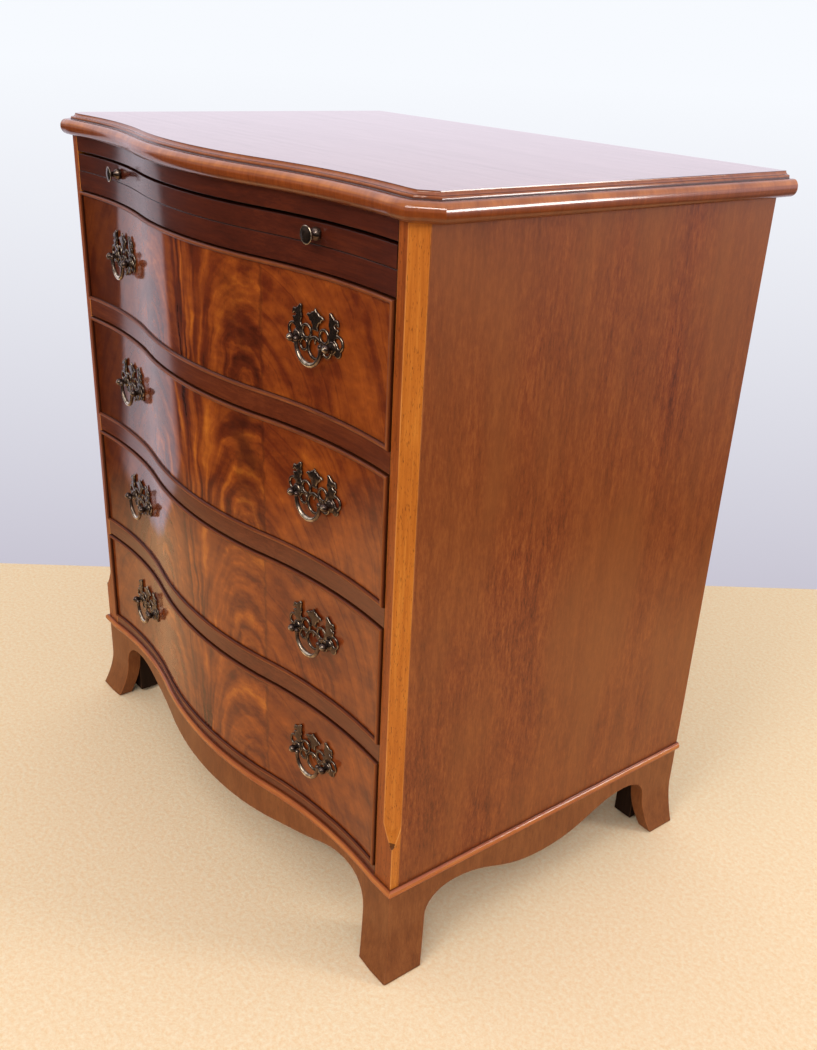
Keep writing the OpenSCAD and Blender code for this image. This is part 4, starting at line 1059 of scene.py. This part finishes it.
def plate_gap(x, y):
    """Distance to the backplate's openwork in millimetres, X along it and Y up from the pivots."""
    a = np.abs(x)
    gap = np.hypot(a - 24, y) - 6.4
    for x0, y0, r0, x1, y1, r1 in ((22, 4, 3.2, 21.6, 9, 3.4), (21.6, 9, 3.4, 24.6, 13, 4.6),
                                   (24.6, 13, 4.6, 21.6, 18, 3.4), (21.6, 18, 3.4, 22.6, 22, 3.6),
                                   (22.6, 22, 3.6, 20.2, 26.6, 1.9), (24, 21, 2.8, 28.6, 22.2, 1.7),
                                   (28.6, 22.2, 1.7, 30, 19.4, 1.2), (25.5, 13.5, 3.2, 29.6, 15.4, 1.3)):
        gap = blended(gap, taper_gap(a, y, x0, y0, r0, x1, y1, r1), 0.8)
    gap = blended(gap, np.hypot(a - 30, y + 3.5) - 4.4)
    gap = blended(gap, ring_gap(a, y, 30.3, 4.5, 7.2, 4.6))
    gap = blended(gap, ring_gap(a, y, 11.8, 6.5, 7.0, 4.5), 0.8)
    gap = blended(gap, ring_gap(a, y, 15.5, -5.5, 6.2, 3.8), 0.8)
    crest = polygon_gap(a, y, [(-1, 29.3), (0, 29), (2.2, 26.0), (4.6, 25.2), (6.6, 23.4), (9.4, 23.4),
                               (12.8, 20.8), (9.2, 19.4), (7.4, 16.6), (5.4, 16.2), (3.6, 12.6), (4.4, 9),
                               (-1, 9)])
    gap = blended(gap, crest + 0.3)
    gap = blended(gap, polygon_gap(a, y, [(-1, 5.6), (0, 5), (2.6, 4.2), (0, -3.2), (-1, -3.2)]), 0.6)
    return blended(gap, ring_gap(x, y, 0, -6.2, 10.8, 7.9), 0.8)


def contour(values, xs, ys, level):
    """Line segments where a field on a grid crosses a level, as end points."""
    pieces = []
    inside = values < level

    def cross(p, q):
        (i, j), (k, m) = p, q
        t = (level - values[j, i]) / (values[m, k] - values[j, i])
        return (xs[i] + t * (xs[k] - xs[i]), ys[j] + t * (ys[m] - ys[j]))

    for j in range(len(ys) - 1):
        row = inside[j:j + 2]
        for i in np.nonzero((row[:, :-1].sum(0) + row[:, 1:].sum(0)) % 4)[0]:
            ring = [(i, j), (i + 1, j), (i + 1, j + 1), (i, j + 1)]
            cuts = [cross(p, q) for p, q in zip(ring, ring[1:] + ring[:1])
                    if inside[p[1], p[0]] != inside[q[1], q[0]]]
            for k in range(0, len(cuts) - 1, 2):
                pieces.append((cuts[k], cuts[k + 1]))
    return pieces


xs = np.arange(-39.0, 39.01, 0.5)
ys = np.arange(-19.0, 31.01, 0.5)
gaps = plate_gap(*np.meshgrid(xs, ys))
print("plate pattern", gaps.shape, "inside", round(float((gaps < 0).mean()), 3))

# %% [markdown]
# The contours become one triangulated sheet. Points on the outline lie lower than points inside it, so the
# rim is rounded, and the outline drops straight to the drawer front. The wear attribute is highest on the
# rounded rim, where polishing cloths have taken the lacquer off.

# %% Backplates
# each contour's distance from the outline, its height above the drawer front, and its wear
LEVELS = ((0.0, PLATE_T - 0.75, 0.35), (-0.35, PLATE_T - 0.2, 0.7), (-0.9, PLATE_T, 0.2))
corners, links, heights = [], [], {}
index = {}
for level, height, wear in LEVELS:
    for piece in contour(gaps, xs, ys, level):
        ends = []
        for p in piece:
            key = (round(p[0], 3), round(p[1], 3))
            if key not in index:
                index[key] = len(corners)
                corners.append(Vector(key))
                heights[index[key]] = (height, wear)
            ends.append(index[key])
        if ends[0] != ends[1]:
            links.append(tuple(ends))
points, _, faces, origin, _, _ = delaunay_2d_cdt(corners, links, [], 0, 1e-4)
bm = bmesh.new()
worn = bm.verts.layers.float.new("worn")
front, rear = [], []
for point, source in zip(points, origin):
    height, wear = heights[source[0]] if source else LEVELS[-1][1:]
    vert = bm.verts.new((point.x * MM, -height * MM, point.y * MM))
    vert[worn] = wear
    front.append(vert)
    rear.append(bm.verts.new((point.x * MM, 0.0, point.y * MM)))
middle = np.array([[sum(points[k][axis] for k in f) / len(f) for axis in (0, 1)] for f in faces])
kept = plate_gap(middle[:, 0], middle[:, 1]) < 0
for keep, f in zip(kept, faces):
    if keep:
        bm.faces.new([front[k] for k in f])
        bm.faces.new([rear[k] for k in reversed(f)])
twin = dict(zip(front, rear))
for e in [e for e in bm.edges if e.is_boundary and e.verts[0] in twin]:
    a, b = e.verts
    bm.faces.new((a, b, twin[b], twin[a]))
bmesh.ops.delete(bm, geom=[v for v in bm.verts if not v.link_faces], context="VERTS")
plate_mesh = shut(bm, bpy.data.meshes.new("pierced backplate"), sharp=50)
for i in DRAWERS:
    body = "drawer_%d" % i
    place_fitting("backplates_%d" % i, plate_mesh, body, [body + "_backplates"], 1,
                  HANDLE_X, SEAT, handle_z(i), TURN)
print("plate triangles", sum(len(p.vertices) - 2 for p in plate_mesh.polygons))

# %% [markdown]
# ## Bails
#
# A bail is a cast drop handle. Its ends are small eyes whose pins turn in the posts, its legs are slim, and
# it swells towards the middle of the bend, where hands bare the brass. The bright metal of the bend is partly
# that wear and partly a painted highlight. It is a tube along a curve, with its radius and its wear written
# as functions of the place along it. Each bail is its own body.

# %% Bails
# half the width between the eyes, the drop of the bend, and how far the legs bow out
HALF_SPAN, DROP, BOW = 16.5, 19.0, 0.15
# the radius of the legs and how much the bend is thicker, the radii of eye and pin, and the pin's length
LEG_R, SWELL, EYE_R, PIN_R, PIN_LEN = 1.95, 0.6, 2.6, 1.2, 6.5


def bail_mesh():
    """One bail in the handle's frame, with its pivots at height 0."""
    low = HALF_SPAN - DROP
    line = [Vector((-HALF_SPAN, 0, 0)), Vector((-HALF_SPAN - BOW, 0, low / 2))]
    line += [Vector((HALF_SPAN * math.cos(math.radians(a)), 0, low + HALF_SPAN * math.sin(math.radians(a))))
             for a in range(180, 361, 6)]
    line += [Vector((HALF_SPAN + BOW, 0, low / 2)), Vector((HALF_SPAN, 0, 0))]
    bm = bmesh.new()
    worn = bm.verts.layers.float.new("worn")
    rings, sides = [], 16
    for k, p in enumerate(line):
        ahead = (line[min(k + 1, len(line) - 1)] - line[max(k - 1, 0)]).normalized()
        across = Vector((0, 1, 0))
        out = ahead.cross(across).normalized()
        share = 1 - abs(2 * k / (len(line) - 1) - 1)
        radius = LEG_R + SWELL * share ** 2
        ring = []
        for s in range(sides):
            a = 2 * math.pi * s / sides
            offset = across * math.cos(a) * radius + out * math.sin(a) * radius
            vert = bm.verts.new((p + offset) * MM)
            # wear rising to bright metal along the bend: partly hand wear, partly a painted highlight
            vert[worn] = min(1.0, 0.3 + 1.3 * max(0.0, share - 0.3))
            ring.append(vert)
        rings.append(ring)
    for a, b in zip(rings, rings[1:]):
        for s in range(sides):
            t = (s + 1) % sides
            bm.faces.new((a[s], a[t], b[t], b[s]))
    bm.faces.new(rings[0])
    bm.faces.new(rings[-1][::-1])
    for side in (-1, 1):
        eye = bmesh.ops.create_uvsphere(bm, u_segments=20, v_segments=12, radius=EYE_R * MM)
        bmesh.ops.translate(bm, verts=eye["verts"], vec=(side * HALF_SPAN * MM, 0, 0))
        for vert in eye["verts"]:
            vert[worn] = 0.35
        pin = bmesh.ops.create_cone(bm, cap_ends=True, segments=16, radius1=PIN_R * MM, radius2=PIN_R * MM,
                                    depth=PIN_LEN * MM)
        bmesh.ops.rotate(bm, verts=pin["verts"], matrix=Matrix.Rotation(math.pi / 2, 3, "Y"))
        bmesh.ops.translate(bm, verts=pin["verts"], vec=(side * (HALF_SPAN + PIN_LEN / 2) * MM, 0, 0))
    return shut(bm, bpy.data.meshes.new("bail"), sharp=50)


for i in DRAWERS:
    for side, name in ((-1, "left"), (1, "right")):
        mesh = bail_mesh()
        pivot = at(side * HANDLE_X, SEAT, handle_z(i))
        mesh.transform(Matrix.Translation(pivot) @ Matrix.Rotation(side * TURN, 4, "Z")
                       @ Matrix.Translation((0, -PIVOT_OUT * MM, 0)))
        body = "drawer_%d_bail_%s" % (i, name)
        bail = bpy.data.objects.new("bail_%d_%s" % (i, name), mesh)
        finish_piece(bail, body, [body], aged_brass)

# %% [markdown]
# ## The floor, and what the polish mirrors
#
# The chest stands on a plain pale floor. What the polish mirrors is painted on it for mirrored rays alone:
# warm sand near the chest, cool pale grey behind a slanting line where the wall stands, which gives the left
# flank of the bow its sheen, and a dim room in front, which keeps the flame veneer deep.

# %% Floor
# level directions from the chest: to the wall behind it, and to the pale side of the room, past its corner
WALL_WAY, SIDE_WAY = Vector((-0.8, 0.6, 0.0)), Vector((-0.234, 0.972, 0.0))


def flat_sheet(name, corners, finish):
    """A sheet of the stage, not of the chest. Its corners run anticlockwise, seen from its front."""
    mesh = bpy.data.meshes.new(name)
    mesh.from_pydata(corners, [], [(0, 1, 2, 3)])
    mesh.materials.append(finish)
    sheet = bpy.data.objects.new(name, mesh)
    bpy.context.scene.collection.objects.link(sheet)
    return sheet


floor_finish, tree, shader = new_finish("plain floor, sand, and wall tone")
place = add(tree, "ShaderNodeTexCoord").outputs["Object"]
ray = add(tree, "ShaderNodeLightPath")
behind = add(tree, "ShaderNodeVectorMath", {0: place, 1: WALL_WAY}, operation="DOT_PRODUCT")
gate = add(tree, "ShaderNodeMapRange", {0: behind.outputs["Value"], 1: 0.495, 2: 0.545}, clamp=True)
pile = add(tree, "ShaderNodeTexNoise", {"Vector": place, "Scale": 1 / (5 * MM), "Detail": 5.0,
                                        "Roughness": 0.8})
sand = add(tree, "ShaderNodeValToRGB", {0: pile.outputs[0]}, stops=((0.35, "#f8d5a8"), (0.65, "#ffecce")))
warm = add(tree, "ShaderNodeMix", {0: ray.outputs["Is Glossy Ray"], 6: sand.outputs[0], 7: linear("#efc493")},
           data_type="RGBA")
tree.links.new(warm.outputs[2], shader.inputs["Base Color"])
tuft = add(tree, "ShaderNodeBump", {"Height": pile.outputs[0], "Strength": 0.35, "Distance": 3 * MM})
tree.links.new(tuft.outputs[0], shader.inputs["Normal"])
shader.inputs["Roughness"].default_value = 0.9
shader.inputs["Specular IOR Level"].default_value = 0.1
# mirrored in the polish: the lower wall beyond the line, and a dim room far from the chest in front
wall = add(tree, "ShaderNodeEmission", {"Color": linear("#e6dee9"), "Strength": 1.0})
shown = add(tree, "ShaderNodeMath", {0: ray.outputs["Is Glossy Ray"], 1: gate.outputs[0]},
            operation="MULTIPLY")
corner = add(tree, "ShaderNodeVectorMath", {0: place, 1: SIDE_WAY}, operation="DOT_PRODUCT")
corner = add(tree, "ShaderNodeMapRange", {0: corner.outputs["Value"], 1: -0.34, 2: -0.24}, clamp=True)
both = add(tree, "ShaderNodeMixShader", {0: shown.outputs[0], 1: shader.outputs[0], 2: wall.outputs[0]})
reach = add(tree, "ShaderNodeVectorMath", {0: place}, operation="LENGTH")
far = add(tree, "ShaderNodeMapRange", {0: reach.outputs["Value"], 1: 0.85, 2: 1.25}, clamp=True)
walled = add(tree, "ShaderNodeMath", {0: corner.outputs[0], 1: gate.outputs[0]}, operation="MULTIPLY")
open_side = add(tree, "ShaderNodeMath", {0: 1.0, 1: walled.outputs[0]}, operation="SUBTRACT")
dim = add(tree, "ShaderNodeMath", {0: far.outputs[0], 1: open_side.outputs[0]}, operation="MULTIPLY")
dim = add(tree, "ShaderNodeMath", {0: dim.outputs[0], 1: ray.outputs["Is Glossy Ray"]}, operation="MULTIPLY")
split = add(tree, "ShaderNodeSeparateXYZ", {0: place})
right_wall = add(tree, "ShaderNodeMapRange", {0: split.outputs[1], 1: 0.9, 2: 1.9}, clamp=True)
dusk = add(tree, "ShaderNodeMix", {0: right_wall.outputs[0], 6: linear("#241c18"), 7: linear("#a8978e")},
           data_type="RGBA")
dusk = add(tree, "ShaderNodeEmission", {"Color": dusk.outputs[2], "Strength": 1.0})
both = add(tree, "ShaderNodeMixShader", {0: dim.outputs[0], 1: both.outputs[0], 2: dusk.outputs[0]})
tree.links.new(both.outputs[0], tree.nodes["Material Output"].inputs["Surface"])
floor = flat_sheet("floor", [(-6, -6, 0), (6, -6, 0), (6, 6, 0), (-6, 6, 0)], floor_finish)
print("floor reaches", max(v.co.x for v in floor.data.vertices), "m")

# %% [markdown]
# ### The wall
#
# The wall behind the chest is one upright panel. Only the camera sees it, and only from the front, so that it
# neither shades the chest nor hides it when the chest is looked at from behind. It is a little darker near
# the floor, as an evenly painted wall is when the light comes from above.

# %% Wall panel
wall_finish = bpy.data.materials.new("plain wall, pale cool paint")
wall_finish.use_nodes = True
tree = wall_finish.node_tree
tree.nodes.clear()
ray = add(tree, "ShaderNodeLightPath")
facing = add(tree, "ShaderNodeNewGeometry")
front = add(tree, "ShaderNodeMath", {0: 1.0, 1: facing.outputs["Backfacing"]}, operation="SUBTRACT")
shown = add(tree, "ShaderNodeMath", {0: front.outputs[0], 1: ray.outputs["Is Camera Ray"]},
            operation="MULTIPLY")
place = add(tree, "ShaderNodeTexCoord").outputs["Object"]
height = add(tree, "ShaderNodeSeparateXYZ", {0: place})
height = add(tree, "ShaderNodeMapRange", {0: height.outputs[2], 1: 0.0, 2: 0.8})
paint = add(tree, "ShaderNodeMix", {0: height.outputs[0], 6: linear("#c9c6d3"), 7: linear("#f7faff")},
            data_type="RGBA")
glow = add(tree, "ShaderNodeEmission", {"Color": paint.outputs[2], "Strength": 1.0})
clear = add(tree, "ShaderNodeBsdfTransparent")
both = add(tree, "ShaderNodeMixShader", {0: shown.outputs[0], 1: clear.outputs[0], 2: glow.outputs[0]})
add(tree, "ShaderNodeOutputMaterial", {"Surface": both.outputs[0]})
# the wall's distance from the middle of the chest, half its length and its height, in metres
WALL_AT, WALL_HALF, WALL_H = 0.502, 7.0, 5.0
foot, rise = WALL_WAY * WALL_AT, Vector((0, 0, WALL_H))
run = Vector((0.6, 0.8, 0.0)) * WALL_HALF
wall_panel = flat_sheet("wall", [foot - run, foot + run, foot + run + rise, foot - run + rise], wall_finish)
print("wall faces", [round(c, 2) for c in wall_panel.data.polygons[0].normal])

# %% [markdown]
# ### World and lamps
#
# The lamps are large and soft, as a window and a pale ceiling are, and their level is such that a colour
# renders about as it is written. The world answers each kind of ray apart: the camera sees a plain pale tone,
# mirrored rays see a pale wall at one side and a dim room at the other, and all else gets an even fill.

# %% World and lamps
world = bpy.data.worlds.new("studio")
bpy.context.scene.world = world
world.use_nodes = True
tree = world.node_tree
tree.nodes.clear()
ray = add(tree, "ShaderNodeLightPath")
way = add(tree, "ShaderNodeTexCoord").outputs["Generated"]
side = add(tree, "ShaderNodeVectorMath", {0: way, 1: SIDE_WAY + Vector((0, 0, 0.45))},
           operation="DOT_PRODUCT")
near_wall = add(tree, "ShaderNodeMapRange", {0: side.outputs["Value"], 1: -0.07, 2: 0.01}, clamp=True)
height = add(tree, "ShaderNodeSeparateXYZ", {0: way})
height = add(tree, "ShaderNodeMapRange", {0: height.outputs[2], 1: -0.02, 2: 0.08})
upper = add(tree, "ShaderNodeMix", {0: height.outputs[0], 6: linear("#2c2320"), 7: linear("#a39c98")},
            data_type="RGBA")
room = add(tree, "ShaderNodeMix", {0: near_wall.outputs[0], 6: upper.outputs[2], 7: linear("#f7eefb")},
           data_type="RGBA")
seen = add(tree, "ShaderNodeMix", {0: ray.outputs["Is Camera Ray"], 6: room.outputs[2], 7: linear("#f5f8fd")},
           data_type="RGBA")
shown = add(tree, "ShaderNodeMath", {0: ray.outputs["Is Camera Ray"], 1: ray.outputs["Is Glossy Ray"]},
            operation="MAXIMUM")
mirror = add(tree, "ShaderNodeBackground", {"Color": seen.outputs[2], "Strength": 1.0})
fill = add(tree, "ShaderNodeBackground", {"Color": linear("#fbfaf8"), "Strength": 0.75})
mixed = add(tree, "ShaderNodeMixShader", {0: shown.outputs[0], 1: fill.outputs[0], 2: mirror.outputs[0]})
add(tree, "ShaderNodeOutputWorld", {"Surface": mixed.outputs[0]})


def softbox(name, spot, target, size, power, colour):
    """A large square lamp at spot that faces target."""
    lamp = bpy.data.lights.new(name, "AREA")
    lamp.shape = "SQUARE"
    lamp.size = size
    lamp.energy = power
    lamp.color = linear(colour)[:3]
    made = bpy.data.objects.new(name, lamp)
    made.location = spot
    made.visible_camera = False
    made.rotation_euler = (Vector(target) - Vector(spot)).to_track_quat("-Z", "Y").to_euler()
    bpy.context.scene.collection.objects.link(made)
    return made


softbox("window_lamp", (0.6, -2.6, 2.4), (0, 0, 0.4), 1.5, 38, "#fff8f0")
softbox("side_lamp", (2.4, 1.9, 1.3), (0.2, 0, 0.4), 0.7, 30, "#fffaf4")
softbox("corner_lamp", (1.7, -1.74, 2.15), (0.25, -0.25, 0.6), 0.4, 9, "#ffffff")
